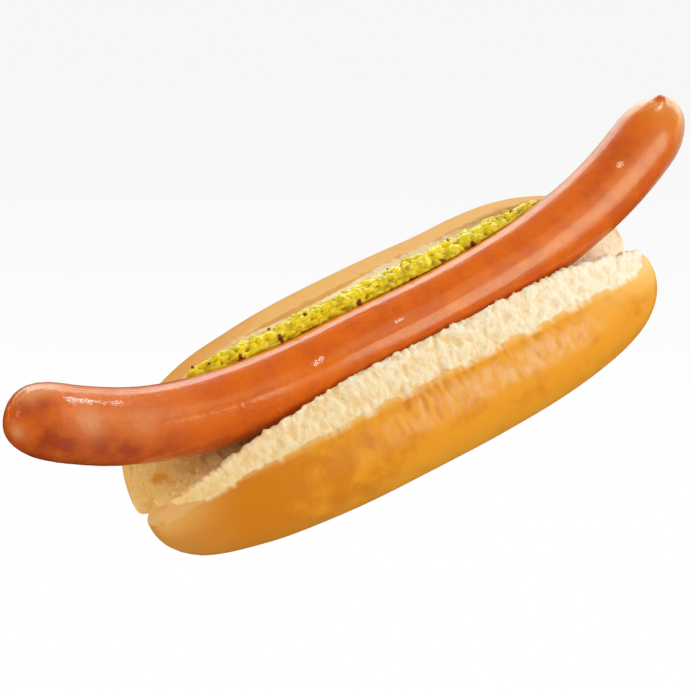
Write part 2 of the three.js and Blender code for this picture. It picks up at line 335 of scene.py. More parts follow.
def reach(s, tau):
    """How far the bun reaches along X: each half ends in a nose, with a notch between."""
    above = np.clip((np.abs(tau) - BUN["nose_share"]) / (1 - BUN["nose_share"]), 0, 1)
    below = np.clip(1 - np.abs(tau) / BUN["nose_share"], 0, 1)
    nose = by_corner(s, tau, "short") + by_corner(s, tau, "setback") * (1 - np.sqrt(1 - above ** 2))
    notch = np.where(s < 0, NOTCH["left"], NOTCH["right"])
    return BUN["half_length"] - mix(nose, notch, below ** NOTCH["sharpness"])


def bun_size(s, tau):
    """Share of its full girth that the bun has at s."""
    near = np.where(s < 0, NEAR["left"]["roundness"], NEAR["right"]["roundness"])
    far = np.where(s < 0, FAR["left"]["roundness"], FAR["right"]["roundness"])
    roundness = mix(near, far, smooth(tau, -BUN["hinge_width"], BUN["hinge_width"]))
    return np.clip(1 - np.abs(s) ** roundness, 0, None) ** (1 / roundness)


def crust_line(tau):
    """The outside of the loaf: tau runs from the near lip, -1, under it to the far lip, 1."""
    angle = mix(math.pi - lip(NEAR)[1], 2 * math.pi + lip(FAR)[1], (tau + 1) / 2)
    across, up = np.cos(angle), np.sin(angle)
    power = 2 / np.where(up > 0, BUN["top_roundness"], BUN["base_roundness"])
    top = np.where(across < 0, NEAR["top"], FAR["top"])
    rise = np.where(up > 0, top, BUN["waist"] + BUN["sink"])
    return BUN["half_width"] * signed_power(across, power), BUN["waist"] + rise * signed_power(up, power)


def crumb_line(tau, x):
    """The cut face: tau runs from the near lip, -1, through the groove to the far lip, 1."""
    spread = np.where(tau < 0, SPREAD["width"] * smooth(x, SPREAD["start"], SPREAD["end"]), 0.0)
    ridge_y, ridge_z = by_half(tau, "ridge_y") + spread, by_half(tau, "ridge_z")
    lip_z = np.where(tau < 0, lip(NEAR)[0], lip(FAR)[0])
    down = np.clip(np.abs(tau) / BUN["ridge_share"], 0, 1)
    out = np.clip((np.abs(tau) - BUN["ridge_share"]) / (1 - BUN["ridge_share"]), 0, 1)
    y = np.where(out > 0, mix(ridge_y, by_half(tau, "lip_y"), out), ridge_y * down ** 0.8)
    z = np.where(out > 0, mix(ridge_z, lip_z, out), mix(BUN["groove_floor"], ridge_z, down ** 2.2))
    # The groove's floor rises a little to meet the sausage where that lies lowest.
    rise = bell(tau, 0.0, 0.15) * (1 - smooth(np.abs(x - LOW_X), 20.0, 40.0))
    return np.sign(tau) * y, z + rise


def groove_play(tau, play):
    """Gap between crumb and casing: the sausage is pressed into the bottom of the groove."""
    return mix(-PRESS, play, smooth(np.abs(tau), 0.12, 0.25))


def bun_stations(count):
    """Shares of the half length at which rings lie, evenly along the outline."""

    def outline(share):
        girth = bun_size(share, np.full_like(share, -1.0))
        return np.stack([BUN["half_length"] * share, BUN["half_width"] * girth], -1)

    half = even_stations(outline, count // 2)
    return np.concatenate([-half[:0:-1], half])


# Stretches of tau round the cut face, and how many steps each takes: finest where it shows.
CRUMB_STEPS = ((-1.0, -0.62, 46), (-0.62, -0.3, 22), (-0.3, 0.3, 24), (0.3, 0.62, 20), (0.62, 1.0, 30))
CRUST_STEPS = 74
STATION_STEPS = 430
# How deep the crust wraps round the ends of the cut face, and over what length.
CRUST_WRAP = {"near": (5.0, 12.0), "far": (5.0, 9.0)}
# The uneven line between crust and crumb: height, size and shift of each noise in it.
RAGGED = ((0.9, (6.0, 9.0, 9.0), 0.0), (0.5, (1.9, 3.0, 3.0), 5.0), (0.3, (0.9, 1.5, 1.5), 6.0))
# The left tip of the near half is smoothed round from each of these places outwards.
BLUNT_STARTS = (-78.0, -80.0, -82.0)
BLUNT_PASSES = 14
EVENING_PASSES = 40
# An orange spot on the crumb inside the left end of the groove.
STAIN = {"place": (-77.6, 2.3, 16.0), "stretch": (0.8, 1.0, 1.0), "size": 1.7}
BREAD_MASKS = ("crumb", "pit", "below_lip", "skin", "deep", "fold", "stain")


def worn(rings, spread):
    """Rings with their corners rounded off, each over its own spread in millimetres."""
    steps = np.linalg.norm(np.roll(rings, -1, axis=1) - rings, axis=2)
    place = np.cumsum(steps, axis=1) - steps
    share = (steps + np.roll(steps, 1, axis=1)) / 2
    result = rings.copy()
    for i, ring in enumerate(rings):
        gap = np.abs(place[i][:, None] - place[i][None, :])
        gap = np.minimum(gap, steps[i].sum() - gap)
        weight = np.exp(-((gap / spread[i]) ** 2)) * (share[i] + 1e-6)
        result[i] = weight @ ring / weight.sum(axis=1, keepdims=True)
    return result


def fold_ends(rings, tau, is_crumb):
    """Lays the last crumb points at both ends onto the crust points beside them."""
    crust_tau = tau[is_crumb == 0]
    nearest = np.abs(tau[:, None] - crust_tau[None, :]).argmin(axis=1)
    for end in (0, -1):
        rings[end] = rings[end, nearest]
    return rings


def bun_rings():
    """Rings of the bun, with the crust's points first, and the share and tau of each point."""
    s = bun_stations(STATION_STEPS)[:, None]
    crust_tau = np.linspace(-1, 1, CRUST_STEPS + 1)
    stretches = [np.linspace(a, b, n, endpoint=False) for a, b, n in CRUMB_STEPS]
    crumb_tau = np.concatenate(stretches)[:0:-1]
    parts = []
    crumb_at = crumb_line(crumb_tau, s * BUN["half_length"])
    for tau, line in ((crust_tau, crust_line(crust_tau)), (crumb_tau, crumb_at)):
        end_y, end_z = end_line(s, tau)
        size = bun_size(s, tau)
        y, z = mix(end_y, line[0], size), mix(end_z, line[1], size)
        parts.append(np.stack(np.broadcast_arrays(s * reach(s, tau), y, z), -1))
    parts[0][..., 2] = np.maximum(parts[0][..., 2], 0)
    parts[1] = clear_of_sausage(parts[1], groove_play(crumb_tau, GROOVE_PLAY))
    tau = np.concatenate([crust_tau, crumb_tau])
    is_crumb = np.concatenate([np.zeros(len(crust_tau)), np.ones(len(crumb_tau))])
    return np.concatenate(parts, axis=1), s, tau, is_crumb


def soft_rings():
    """The loaf's rings with their corners rounded off, most of all towards the ends."""
    rings, s, tau, is_crumb = bun_rings()
    endward = smooth(np.abs(s[:, 0]), 0.55, 0.9)
    girth = bun_size(s[:, 0], np.full(len(s), -1.0))
    rings = worn(rings, np.maximum(mix(0.7, 5.0, endward) * girth ** 0.6, 0.3 + 1.7 * endward))
    rings = fold_ends(rings, tau, is_crumb)
    # Towards both ends the rings are also evened out along the loaf.
    share = 0.5 * smooth(np.abs(s), 0.84, 0.93)[1:-1, :, None]
    for _ in range(EVENING_PASSES):
        rings[1:-1] = mix(rings[1:-1], (rings[:-2] + rings[2:]) / 2, share)
    return rings, s, tau, is_crumb


def bun_places(rings, s, tau, is_crumb):
    """Where every point of the bun lies, along it and round it, for its relief to go by."""
    steps = np.linalg.norm(np.roll(rings, -1, axis=1) - rings, axis=2)
    round_ring = np.cumsum(steps, axis=1) - steps
    girth = round_ring[:, -1:] + steps[:, -1:]
    from_near_lip = np.minimum(round_ring, girth - round_ring)
    past_far_lip = round_ring - round_ring[:, CRUST_STEPS:CRUST_STEPS + 1]
    from_lip = np.minimum(np.abs(past_far_lip), from_near_lip)
    return SimpleNamespace(
        x=rings[..., 0],
        tau=tau,
        is_crumb=is_crumb,
        near=tau < 0,
        far_rim=smooth(tau, 0.4, 0.62),
        size=bun_size(s, tau),
        from_end=np.broadcast_to(BUN["half_length"] * (1 - np.abs(s)), rings.shape[:2]),
        past_far_lip=past_far_lip,
        under_lip=np.where(is_crumb > 0, -from_lip, from_lip),
    )


def crumb_texture(rings):
    """The grain of torn crumb: walls round bubbles drawn out across the cut, tufts and holes."""
    drift = [noise_at(rings, 4.1), noise_at(rings, 3.7, 9.0), noise_at(rings, 3.9, 17.0)]
    warped = rings + 1.3 * np.stack(drift, -1)
    bubble, tone = foam_at(warped, (1.5, 3.6, 3.6))
    return SimpleNamespace(
        warped=warped,
        bubble=bubble,
        tone=np.abs(tone),
        hole=smooth(noise_at(rings, (3.2, 4.2, 4.2), 51.0), 0.25, 0.6),
        fibre=noise_at(warped, (0.9, 1.5, 1.5), 2.0),
        lump=noise_at(warped, (2.3, 2.7, 2.7), 13.0),
        wave=noise_at(rings, (8.0, 8.0, 8.0), 7.0),
        grit=noise_at(warped, (0.7, 0.8, 0.8), 3.0),
    )


def crumb_mask(rings, at):
    """1 on crumb and 0 on crust: they meet on an uneven line, and crust wraps round both ends."""
    depth, length = (np.where(at.near, CRUST_WRAP["near"][i], CRUST_WRAP["far"][i]) for i in (0, 1))
    wrap = depth * np.clip(1 - at.from_end / length, 0, 1) ** 1.5
    # The tips of the near half are all crust, and the far rim is narrower beside the relish.
    wrap += 16 * at.near * smooth(at.from_end, 5.5, 1.5)
    narrowed = 1.9 * smooth(at.x, -50.0, -20.0) * (1 - 0.75 * smooth(at.x, -12.0, 12.0))
    wrap += np.where(at.near, 0.0, narrowed)
    ragged = sum(height * noise_at(rings, size, shift) for height, size, shift in RAGGED)
    return smooth(ragged * (1 - 0.6 * at.far_rim) - at.under_lip - wrap, -0.1, 0.4)


def crumb_relief(at, grain, crumb, depth):
    """How far the torn crumb stands up, most of all on the near ridge, and the far lip's edge."""
    x, ridge = at.x, bell(at.tau, -0.64, 0.07)
    relief = (0.3 + 0.5 * ridge) * grain.fibre + 0.22 * grain.grit + 0.8 * grain.lump
    relief += 0.45 * grain.wave + 0.3
    relief += ridge * (1.6 * smooth(x, 12.0, 56.0) + 2.2 * (1 - smooth(x, -62.0, -30.0)) - 0.7)
    relief -= grain.bubble * (0.08 + 0.2 * grain.tone) + 0.5 * grain.hole
    inside = 1 - smooth(np.abs(at.tau), 0.45, 0.6)
    relief *= depth * crumb * np.sqrt(at.size) * (1 - 0.5 * at.far_rim) * (1 - 0.35 * inside)
    far_edge = bell(at.past_far_lip, 0.0, 1.1) * at.size
    return relief + far_edge * (0.9 + 0.5 * grain.lump)


def crust_swell(rings, at):
    """Slow unevenness of the crust: fuller at the near left end and far right, slimmer between."""
    x = at.x
    left_end = 1.3 * at.near * (1 - smooth(x, -86.0, -60.0)) * smooth(at.under_lip, 0.0, 6.0)
    bulge = 2.5 * smooth(x, 24.0, 60.0) * (1 - smooth(x, 68.0, 84.0))
    slimmer = 0.55 * smooth(x, -56.0, -38.0) * (1 - smooth(x, 20.0, 40.0))
    uneven = 0.35 * noise_at(rings, (26.0, 18.0, 14.0), 11.0) + 0.3
    return uneven + left_end + smooth(at.tau, 0.3, 0.7) * (bulge - slimmer)


def crust_folds(rings, at, grain):
    """Fine wrinkles of the crust under the near lip, where it was squeezed."""
    squeezed = smooth(at.x, -32.0, -8.0) * (1 - smooth(at.x, 30.0, 62.0))
    patch = squeezed * smooth(noise_at(rings, (13.0, 12.0, 9.0), 21.0), -0.35, 0.2)
    shoulder = smooth(at.under_lip, 0.3, 2.0) * (1 - smooth(at.under_lip, 6.0, 15.0))
    crease = noise_at(grain.warped, (1.9, 4.5, 5.0), 31.0)
    crease += 0.7 * noise_at(grain.warped, (3.2, 5.0, 6.0), 37.0)
    return crease * patch * shoulder * (1 - at.is_crumb) * at.near


def bread_masks(rings, at, grain, crumb, fold):
    """What the bread's material goes by: each mask's value at every point."""
    # Painted shade: the crumb's bubbles, holes and hollows between lumps are marked to turn straw.
    pit = np.maximum(grain.bubble * (0.1 + 0.35 * grain.tone), grain.hole)
    pit = np.maximum(pit, 0.9 * smooth(-grain.lump - 0.6 * grain.fibre, 0.0, 0.5))
    pit *= crumb * (1 - 0.6 * at.far_rim) * np.where(at.near, 1.0, 1 - 0.7 * smooth(at.x, 45.0, 65.0))
    skin = smooth(at.from_end, mix(22.0, 28.0, at.far_rim), 2.0)
    skin = skin * (1 - at.near * (0.25 + 0.5 * smooth(at.under_lip, 1.0, 9.0)))
    # Painted bounce light from the sausage: crumb low in the groove is marked to turn golden, over the
    # crumb's own colour.
    deep = at.is_crumb * (1 - smooth(rings[..., 2], 22.0, 38.0))
    offset = (rings - np.array(STAIN["place"])) * STAIN["stretch"]
    distance = np.linalg.norm(offset, axis=2) * (1 + 0.5 * grain.fibre)
    stain = bell(distance, 0.0, STAIN["size"], 3)
    return dict(zip(BREAD_MASKS, (crumb, pit, at.under_lip * MM, skin, deep, fold, stain)))


def blunted(mesh):
    """The bun with the left tip of its near half smoothed round."""
    axes = {f"use_axis_{axis}": True for axis in "xyz"}
    work = bmesh.new()
    work.from_mesh(mesh)
    for start in BLUNT_STARTS:
        tip = [vertex for vertex in work.verts if vertex.co.x < start * MM and vertex.co.y < 0]
        for _ in range(BLUNT_PASSES):
            bmesh.ops.smooth_vert(work, verts=tip, factor=0.5, **axes)
    work.to_mesh(mesh)
    work.free()
    return mesh


def bun_mesh(crumb_depth):
    rings, s, tau, is_crumb = soft_rings()
    at = bun_places(rings, s, tau, is_crumb)
    grain = crumb_texture(rings)
    crumb = crumb_mask(rings, at)
    fold = crust_folds(rings, at, grain)
    on_crust = (1 - crumb) * smooth(rings[..., 2], 0.4, 5.0) * at.size
    change = crumb_relief(at, grain, crumb, crumb_depth)
    change += (crust_swell(rings, at) + 0.7 * fold) * on_crust
    rings = rings + grid_normals(rings) * change[..., None]
    inner = is_crumb > 0
    rings[:, inner] = clear_of_sausage(rings[:, inner], groove_play(tau[inner], TORN_PLAY))
    rings[..., 2] = np.maximum(rings[..., 2], 0)
    rings = fold_ends(rings, tau, is_crumb)
    return blunted(mesh_from_rings("bun", rings, bread_masks(rings, at, grain, crumb, fold)))


# ---------------------------------------------------------------------------- the sausage
# Places on the casing, each given as x, angle round it from the far side over the top, size
# and strength: grilled darker, paler tan skin under a painted sheen, painted glints, and less glossy.
SCORCHES = (
    (-109.0, 112.0, 2.8, 1.1),
    (-105.0, 98.0, 2.6, 0.9),
    (-101.9, 145.0, 3.8, 1.4),
    (-98.0, 154.0, 3.2, 1.0),
    (-91.3, 154.0, 3.0, 1.0),
    (-84.0, 156.0, 3.6, 0.9),
    (-88.0, 146.0, 3.6, 0.5),
    (-75.0, 162.0, 4.0, 0.6),
    (-104.0, 205.0, 6.0, 0.5),
    (72.0, 105.0, 7.0, 0.3),
    (86.0, 92.0, 7.0, 0.45),
)
# Paler tan skin round the left tip, with a painted sheen over the top of the left end.
BLUSHES = (
    (-108.0, 72.0, 3.6, 1.0),
    (-103.5, 62.0, 3.4, 0.7),
    (-108.5, 160.0, 2.2, 0.9),
    (-95.0, 114.0, 3.4, 0.5),
    (-93.0, 128.0, 3.0, 0.4),
    (-80.0, 124.0, 3.6, 0.4),
    (-92.0, 96.0, 12.0, 0.3),
    (-74.0, 92.0, 11.0, 0.18),
)
# Painted glints: pale specks laid into the casing's colour that stand for small highlights on its crinkles.
GLINTS = (
    (-99.5, 86.0, 1.6, 0.8),
    (-97.6, 88.5, 1.9, 0.9),
    (-95.4, 86.0, 1.1, 1.0),
    (-94.2, 89.0, 1.3, 0.9),
    (-92.2, 86.5, 1.0, 0.9),
    (-90.4, 89.0, 1.1, 0.8),
    (-88.0, 88.0, 1.6, 0.8),
    (-86.0, 89.5, 1.5, 0.8),
    (-29.4, 113.4, 1.0, 1.0),
    (-28.3, 112.8, 1.0, 0.95),
    (-27.1, 112.2, 0.8, 1.0),
    (-26.1, 111.2, 1.0, 1.0),
    (-2.3, 111.6, 0.8, 0.9),
    (-1.2, 110.8, 0.9, 0.95),
    (0.1, 109.8, 1.0, 0.95),
    (82.4, 103.6, 1.1, 1.0),
    (83.6, 102.0, 1.3, 1.0),
)
DULL = (
    (-30.0, 118.0, 6.0, 0.8),
    (-25.0, 130.0, 6.0, 0.9),
    (-36.0, 134.0, 6.0, 0.6),
    (-98.0, 48.0, 12.0, 0.7),
    (-82.0, 46.0, 11.0, 0.6),
)
CASING_MASKS = ("scorch", "blush", "tip", "knot", "glint", "dull")
CASING_STEPS = (430, 96)
KNOT = {"x": 107.3, "angle": 75.0, "height": 1.2, "width": 1.7}
PINCH = {"x": -110.2, "angle": 118.0, "height": -0.8, "width": 1.8}


def casing_point(x, angle):
    """A point of the casing: the angle runs from the far side, over the top, to the near side."""
    centre, along, radius = sausage_axis(x)
    side = np.cross([0.0, 0.0, 1.0], along)
    side /= np.linalg.norm(side, axis=-1, keepdims=True)
    top = np.cross(along, side)
    size = (radius * cap_share(x))[..., None]
    return centre + size * (side * np.cos(angle)[..., None] + top * np.sin(angle)[..., None])


def sausage_outline(share):
    """Length along the sausage and its radius, for shares of its reach along X."""
    x = mix(LEFT_END["x"], RIGHT_END["x"], share)
    centre, _, radius = sausage_axis(x)
    length = np.concatenate([[0], np.cumsum(np.linalg.norm(np.diff(centre, axis=0), axis=1))])
    return np.stack([length, radius * cap_share(x)], -1)


def from_spot(rings, x, degrees):
    """A place on the casing, and the distance of every point from it."""
    place = casing_point(np.array(x), np.array(math.radians(degrees)))
    return place, np.linalg.norm(rings - place, axis=2)


def spots(rings, places):
    """Sum of soft round spots, each given as x, angle, size and strength."""
    total = np.zeros(rings.shape[:2])
    for x, degrees, size, strength in places:
        total += strength * bell(from_spot(rings, x, degrees)[1], 0.0, size)
    return total


def puckered(rings, spot):
    """A knot or a pinch, with the skin gathered in small folds round it."""
    place, distance = from_spot(rings, spot["x"], spot["angle"])
    pull = bell(distance, 0.0, spot["width"], 3)
    bearing = np.arctan2(rings[..., 2] - place[2], rings[..., 1] - place[1])
    folds = bell(distance, 0.0, 3.2 * spot["width"]) * (1 - pull) * np.cos(9 * bearing)
    return spot["height"] * pull + 0.16 * folds


def casing_relief(rings, x):
    """Slow unevenness, fine crinkles, shrivelled skin at the left end, the pinch and the knot."""
    uneven = 0.22 * noise_at(rings, (22.0, 14.0, 14.0), 4.0)
    crinkle = 0.05 * noise_at(rings, (0.9, 5.0, 5.0), 14.0) * smooth(noise_at(rings, 12.0, 8.0), 0, 0.4)
    shrivel = 0.09 * (1 - smooth(x, -108.0, -78.0)) * noise_at(rings, (1.4, 6.0, 6.0), 24.0)
    relief = (uneven + crinkle + shrivel) * np.sqrt(cap_share(x))
    return relief + puckered(rings, KNOT) + puckered(rings, PINCH)


def casing_masks(rings, x, angle):
    """What the casing's material goes by: each mask's value at every point."""
    turn = np.degrees(angle)
    # Painted shade on the underside, partly grilled skin, stronger towards the left end; it joins the
    # grilled places in the scorch mask.
    under = smooth(turn, 135, 185) * (1 - smooth(turn, 290, 340)) * mix(0.65, 0.25, smooth(x, -70, -10))
    tip = bell(x, RIGHT_END["x"], 9.0)
    knot = bell(from_spot(rings, KNOT["x"], KNOT["angle"])[1], 0.0, 1.9, 4)
    # The glint mask places the painted highlights.
    glint = np.minimum(spots(rings, GLINTS), 0.8)
    scorch = spots(rings, SCORCHES) + under
    masks = scorch, spots(rings, BLUSHES), tip, knot, glint, spots(rings, DULL)
    return dict(zip(CASING_MASKS, masks))


def sausage_mesh():
    share = even_stations(sausage_outline, CASING_STEPS[0])
    angle = np.linspace(0, 2 * math.pi, CASING_STEPS[1], endpoint=False)
    x, angle = np.meshgrid(mix(LEFT_END["x"], RIGHT_END["x"], share), angle, indexing="ij")
    rings = casing_point(x, angle)
    masks = casing_masks(rings, x, angle)
    masks["cloth"] = np.stack([x, sausage_axis(x)[2] * angle, np.zeros_like(x)], -1) * MM
    rings = rings + grid_normals(rings) * casing_relief(rings, x)[..., None]
    return mesh_from_rings("sausage", rings, masks)


# ------------------------------------------------------------------------------ the relish
def relish_axis(x):
    """Size and centre of the relish at x: it follows the sausage and thins out at both ends."""
    middle, half = (RELISH["start"] + RELISH["end"]) / 2, (RELISH["end"] - RELISH["start"]) / 2
    share = np.clip(np.abs(x - middle) / half, 0, 1)
    centre, _, _ = sausage_axis(x)
    y = RELISH["y"] + 0.6 * centre[..., 1]
    power = np.where(x < middle, 4.5, 2.6)
    return np.sqrt(1 - share ** power), np.stack([x, y, np.full_like(x, RELISH["z"])], -1)


def chopped(along, across, seed):
    """(height, tone) of chopped pieces packed on a strip: height in mm, 0 in the gaps."""
    rng = np.random.default_rng(seed)
    height, tone = np.zeros_like(along), np.zeros_like(along)
    spacing = CHOPPED["spacing"]
    for x in np.arange(along.min(), along.max(), spacing):
        for y in np.arange(-CHOPPED["reach"], CHOPPED["reach"], spacing):
            shift, turn, own = rng.uniform(-0.5, 0.5, 2) * spacing, rng.uniform(0, math.pi), rng.uniform()
            long, wide, high = (rng.uniform(*CHOPPED[key]) for key in ("long", "wide", "high"))
            right, up = along - x - shift[0], across - y - shift[1]
            first = (right * math.cos(turn) + up * math.sin(turn)) / long
            second = (up * math.cos(turn) - right * math.sin(turn)) / wide
            inside = 1 - (np.abs(first) ** 2.5 + np.abs(second) ** 2.5)
            piece = high * np.clip(inside, 0, 1) ** 0.6 * (1 + 0.2 * first)
            tone = mix(tone, own, smooth(piece - height, -0.15, 0.15))
            height = (height ** 5 + piece ** 5) ** 0.2
    return height, tone


def spice_mask(rings, x, beside):
    """1 on the specks of spice, whose edges are ragged: beside is the place across the strip."""
    ragged = 1 + 0.4 * noise_at(rings, 0.9, 3.0)
    spice = np.zeros_like(x)
    for spice_x, spice_beside, width in SPICE:
        distance = np.hypot(x - spice_x, beside - spice_beside) * ragged
        spice = np.maximum(spice, 1 - smooth(distance, 0.45 * width, 0.85 * width))
    return spice


def relish_mesh(seed):
    """The strip of relish: a lumpy flat roll of sauce, finest on top, set with chopped pieces."""
    share = 0.5 - 0.5 * np.cos(np.linspace(0, math.pi, RELISH_STEPS["along"]))
    upper = np.linspace(-0.15 * math.pi, 1.15 * math.pi, RELISH_STEPS["upper"], endpoint=False)
    lower = np.linspace(1.15 * math.pi, 1.85 * math.pi, RELISH_STEPS["lower"], endpoint=False)
    along = mix(RELISH["start"], RELISH["end"], share)
    x, angle = np.meshgrid(along, np.concatenate([upper, lower]), indexing="ij")
    size, centre = relish_axis(x)
    across, up = np.cos(angle), np.sin(angle)
    lump = 1 + 0.3 * noise_at(np.stack([x, 4 * across, 4 * up], -1), (7.0, 4.0, 4.0))
    y = RELISH["half_width"] * (1 + 0.25 * smooth(x, 5.0, 35.0)) * size * lump * across
    z = RELISH["half_depth"] * size * lump * up
    cos, sin = math.cos(RELISH_TILT), math.sin(RELISH_TILT)
    rings = centre + np.stack([np.zeros_like(x), y * cos - z * sin, y * sin + z * cos], -1)
    height, tone = chopped(x, RELISH["half_width"] * 1.15 * (math.pi / 2 - angle), seed)
    height *= smooth(up, -0.5, 0.1) * np.sqrt(size)
    rings = rings + grid_normals(rings) * height[..., None]
    rings = clear_of_sausage(rings, 0.1)
    # The gap mask turns the sauce between the pieces to the juice colour: juice, and painted shade between
    # them.
    gap = 1 - smooth(height, 0.0, 0.55)
    spice = spice_mask(rings, x, y) * smooth(up, 0.0, 0.3)
    return mesh_from_rings("relish_sauce", rings, dict(zip(RELISH_MASKS, (tone, gap, spice))))


def chip_mesh(name, seed, stretch, roundness):
    """One small chopped piece with blunt corners."""
    work = bmesh.new()
    bmesh.ops.create_icosphere(work, subdivisions=2, radius=1.0)
    for vertex in work.verts:
        direction = vertex.co.normalized()
        cube = 1 / max(abs(direction.x), abs(direction.y), abs(direction.z))
        uneven = 1 + 0.22 * noise.noise(direction * 1.3 + Vector((seed,) * 3))
        length = mix(cube * 0.8, 1.0, roundness) * uneven
        vertex.co = Vector((direction[i] * length * stretch[i] for i in range(3))) * MM
    for face in work.faces:
        face.smooth = True
    mesh = bpy.data.meshes.new(name)
    work.to_mesh(mesh)
    work.free()
    return mesh


# ---------------------------------------------------------------------------- node helpers
def fill(tree, socket, value):
    """Links a socket to another one, or sets its value."""
    if isinstance(value, bpy.types.NodeSocket):
        tree.links.new(value, socket)
    else:
        socket.default_value = value


def set_inputs(tree, node, values):
    for key, value in values.items():
        fill(tree, node.inputs[key], value)


def new_node(tree, kind, inputs=None, **settings):
    """Adds a node, sets its properties, and fills or links its inputs by name or number."""
    node = tree.nodes.new(kind)
    for key, value in settings.items():
        setattr(node, key, value)
    set_inputs(tree, node, inputs or {})
    return node


def math_node(tree, operation, first, second, clamp=False):
    node = new_node(tree, "ShaderNodeMath", {0: first, 1: second}, operation=operation, use_clamp=clamp)
    return node.outputs[0]


def times(tree, first, second):
    return math_node(tree, "MULTIPLY", first, second)


def map_range(tree, value, low, high, start=0.0, end=1.0):
    inputs = {"Value": value, "From Min": low, "From Max": high, "To Min": start, "To Max": end}
    return new_node(tree, "ShaderNodeMapRange", inputs, interpolation_type="SMOOTHSTEP").outputs[0]


def as_colour(value):
    return value if isinstance(value, bpy.types.NodeSocket) else (*value[:3], 1.0)


def mix_colour(tree, share, first, second):
    node = new_node(tree, "ShaderNodeMix", data_type="RGBA")
    values = {"Factor_Float": share, "A_Color": as_colour(first), "B_Color": as_colour(second)}
    for socket in node.inputs:
        if socket.identifier in values:
            fill(tree, socket, values[socket.identifier])
    return next(output for output in node.outputs if output.identifier == "Result_Color")


def layered(tree, colour, layers):
    """A colour with others laid over it in their order, each given as its share and itself."""
    for share, over in layers:
        colour = mix_colour(tree, share, colour, over)
    return colour


def attribute(tree, name, output="Fac"):
    return new_node(tree, "ShaderNodeAttribute", attribute_name=name).outputs[output]


def object_place(tree):
    """A point's place in its object, which is its place in the frame, and its single axes."""
    place = new_node(tree, "ShaderNodeTexCoord").outputs["Object"]
    return place, new_node(tree, "ShaderNodeSeparateXYZ", {0: place}).outputs


def noise_texture(tree, vector, scale, detail=3.0, rough=0.5):
    inputs = {"Vector": vector, "Scale": scale, "Detail": detail, "Roughness": rough}
    return new_node(tree, "ShaderNodeTexNoise", inputs).outputs["Fac"]


def bump(tree, height, distance, strength=1.0, normal=None):
    inputs = {"Height": height, "Distance": distance, "Strength": strength}
    if normal is not None:
        inputs["Normal"] = normal
    return new_node(tree, "ShaderNodeBump", inputs).outputs["Normal"]


def stretched(tree, vector, scale):
    return new_node(tree, "ShaderNodeMapping", {"Vector": vector, "Scale": scale}).outputs["Vector"]


def new_material(name):
    """A material with a bare Principled shader: (material, tree, shader)."""
    material = bpy.data.materials.new(name)
    material.use_nodes = True
    tree = material.node_tree
    return material, tree, tree.nodes["Principled BSDF"]


# --------------------------------------------------------------------------- shader groups
def mottle_group():
    """Two colours in soft uneven patches, with finer flecks of a third."""
    name = "mottle"
    if name in bpy.data.node_groups:
        return bpy.data.node_groups[name]
    tree = bpy.data.node_groups.new(name, "ShaderNodeTree")
    for socket, kind in (
        ("Vector", "NodeSocketVector"),
        ("Light", "NodeSocketColor"),
        ("Dark", "NodeSocketColor"),
        ("Fleck", "NodeSocketColor"),
        ("Patch Scale", "NodeSocketFloat"),
        ("Patch Bias", "NodeSocketFloat"),
        ("Fleck Scale", "NodeSocketFloat"),
        ("Fleck Amount", "NodeSocketFloat"),
    ):
        tree.interface.new_socket(socket, in_out="INPUT", socket_type=kind)
    tree.interface.new_socket("Color", in_out="OUTPUT", socket_type="NodeSocketColor")
    tree.interface.new_socket("Patch", in_out="OUTPUT", socket_type="NodeSocketFloat")
    given = tree.nodes.new("NodeGroupInput").outputs
    patch = noise_texture(tree, given["Vector"], given["Patch Scale"], 4.0, 0.55)
    patch = map_range(tree, math_node(tree, "ADD", patch, given["Patch Bias"]), 0.32, 0.68)
    flecks = noise_texture(tree, given["Vector"], given["Fleck Scale"], 2.0, 0.5)
    flecks = map_range(tree, flecks, 0.6, 0.74)
    flecks = times(tree, flecks, given["Fleck Amount"])
    colour = mix_colour(tree, patch, given["Light"], given["Dark"])
    colour = mix_colour(tree, flecks, colour, given["Fleck"])
    result = tree.nodes.new("NodeGroupOutput")
    tree.links.new(colour, result.inputs["Color"])
    tree.links.new(patch, result.inputs["Patch"])
    return tree


def mottle(tree, vector, colours, patch_scale, fleck_scale, fleck_amount, bias=0.0):
    """Colour and patch mask of a mottle group: colours are light, dark and fleck."""
    node = tree.nodes.new("ShaderNodeGroup")
    node.node_tree = mottle_group()
    values = dict(zip(("Light", "Dark", "Fleck"), map(as_colour, colours)))
    values.update({
        "Vector": vector,
        "Patch Scale": patch_scale,
        "Patch Bias": bias,
        "Fleck Scale": fleck_scale,
        "Fleck Amount": fleck_amount,
    })
    set_inputs(tree, node, values)
    return node.outputs["Color"], node.outputs["Patch"]


# ------------------------------------------------------------------------------- materials
def bread_inputs(tree):
    """The bread's masks, and where a point lies along, across and up the bun, to go by."""
    place, axes = object_place(tree)
    return SimpleNamespace(
        place=place,
        x=axes["X"],
        z=axes["Z"],
        leftward=map_range(tree, axes["X"], 0.0, -0.08),
        rightward=map_range(tree, axes["X"], 0.0, 0.07),
        farther=map_range(tree, axes["Y"], 0.0, 0.02),
        grain=stretched(tree, place, (1.0, 0.65, 0.65)),
        **{name: attribute(tree, name) for name in BREAD_MASKS},
    )


def peach_band(tree, at):
    """Share of the painted sheen: a paler, blotchy band of crust some way under the near lip."""
    band = map_range(tree, at.below_lip, 0.002, 0.006)
    band = times(tree, band, map_range(tree, at.below_lip, 0.0135, 0.009))
    band = times(tree, band, map_range(tree, at.x, -0.045, 0.015))
    blotch = noise_texture(tree, stretched(tree, at.place, (1.0, 0.6, 0.6)), 330.0, 2.5, 0.55)
    band = times(tree, band, map_range(tree, blotch, 0.36, 0.64, 0.25, 1.2))
    return times(tree, band, map_range(tree, at.x, 0.06, 0.045, 0.0, 0.75))


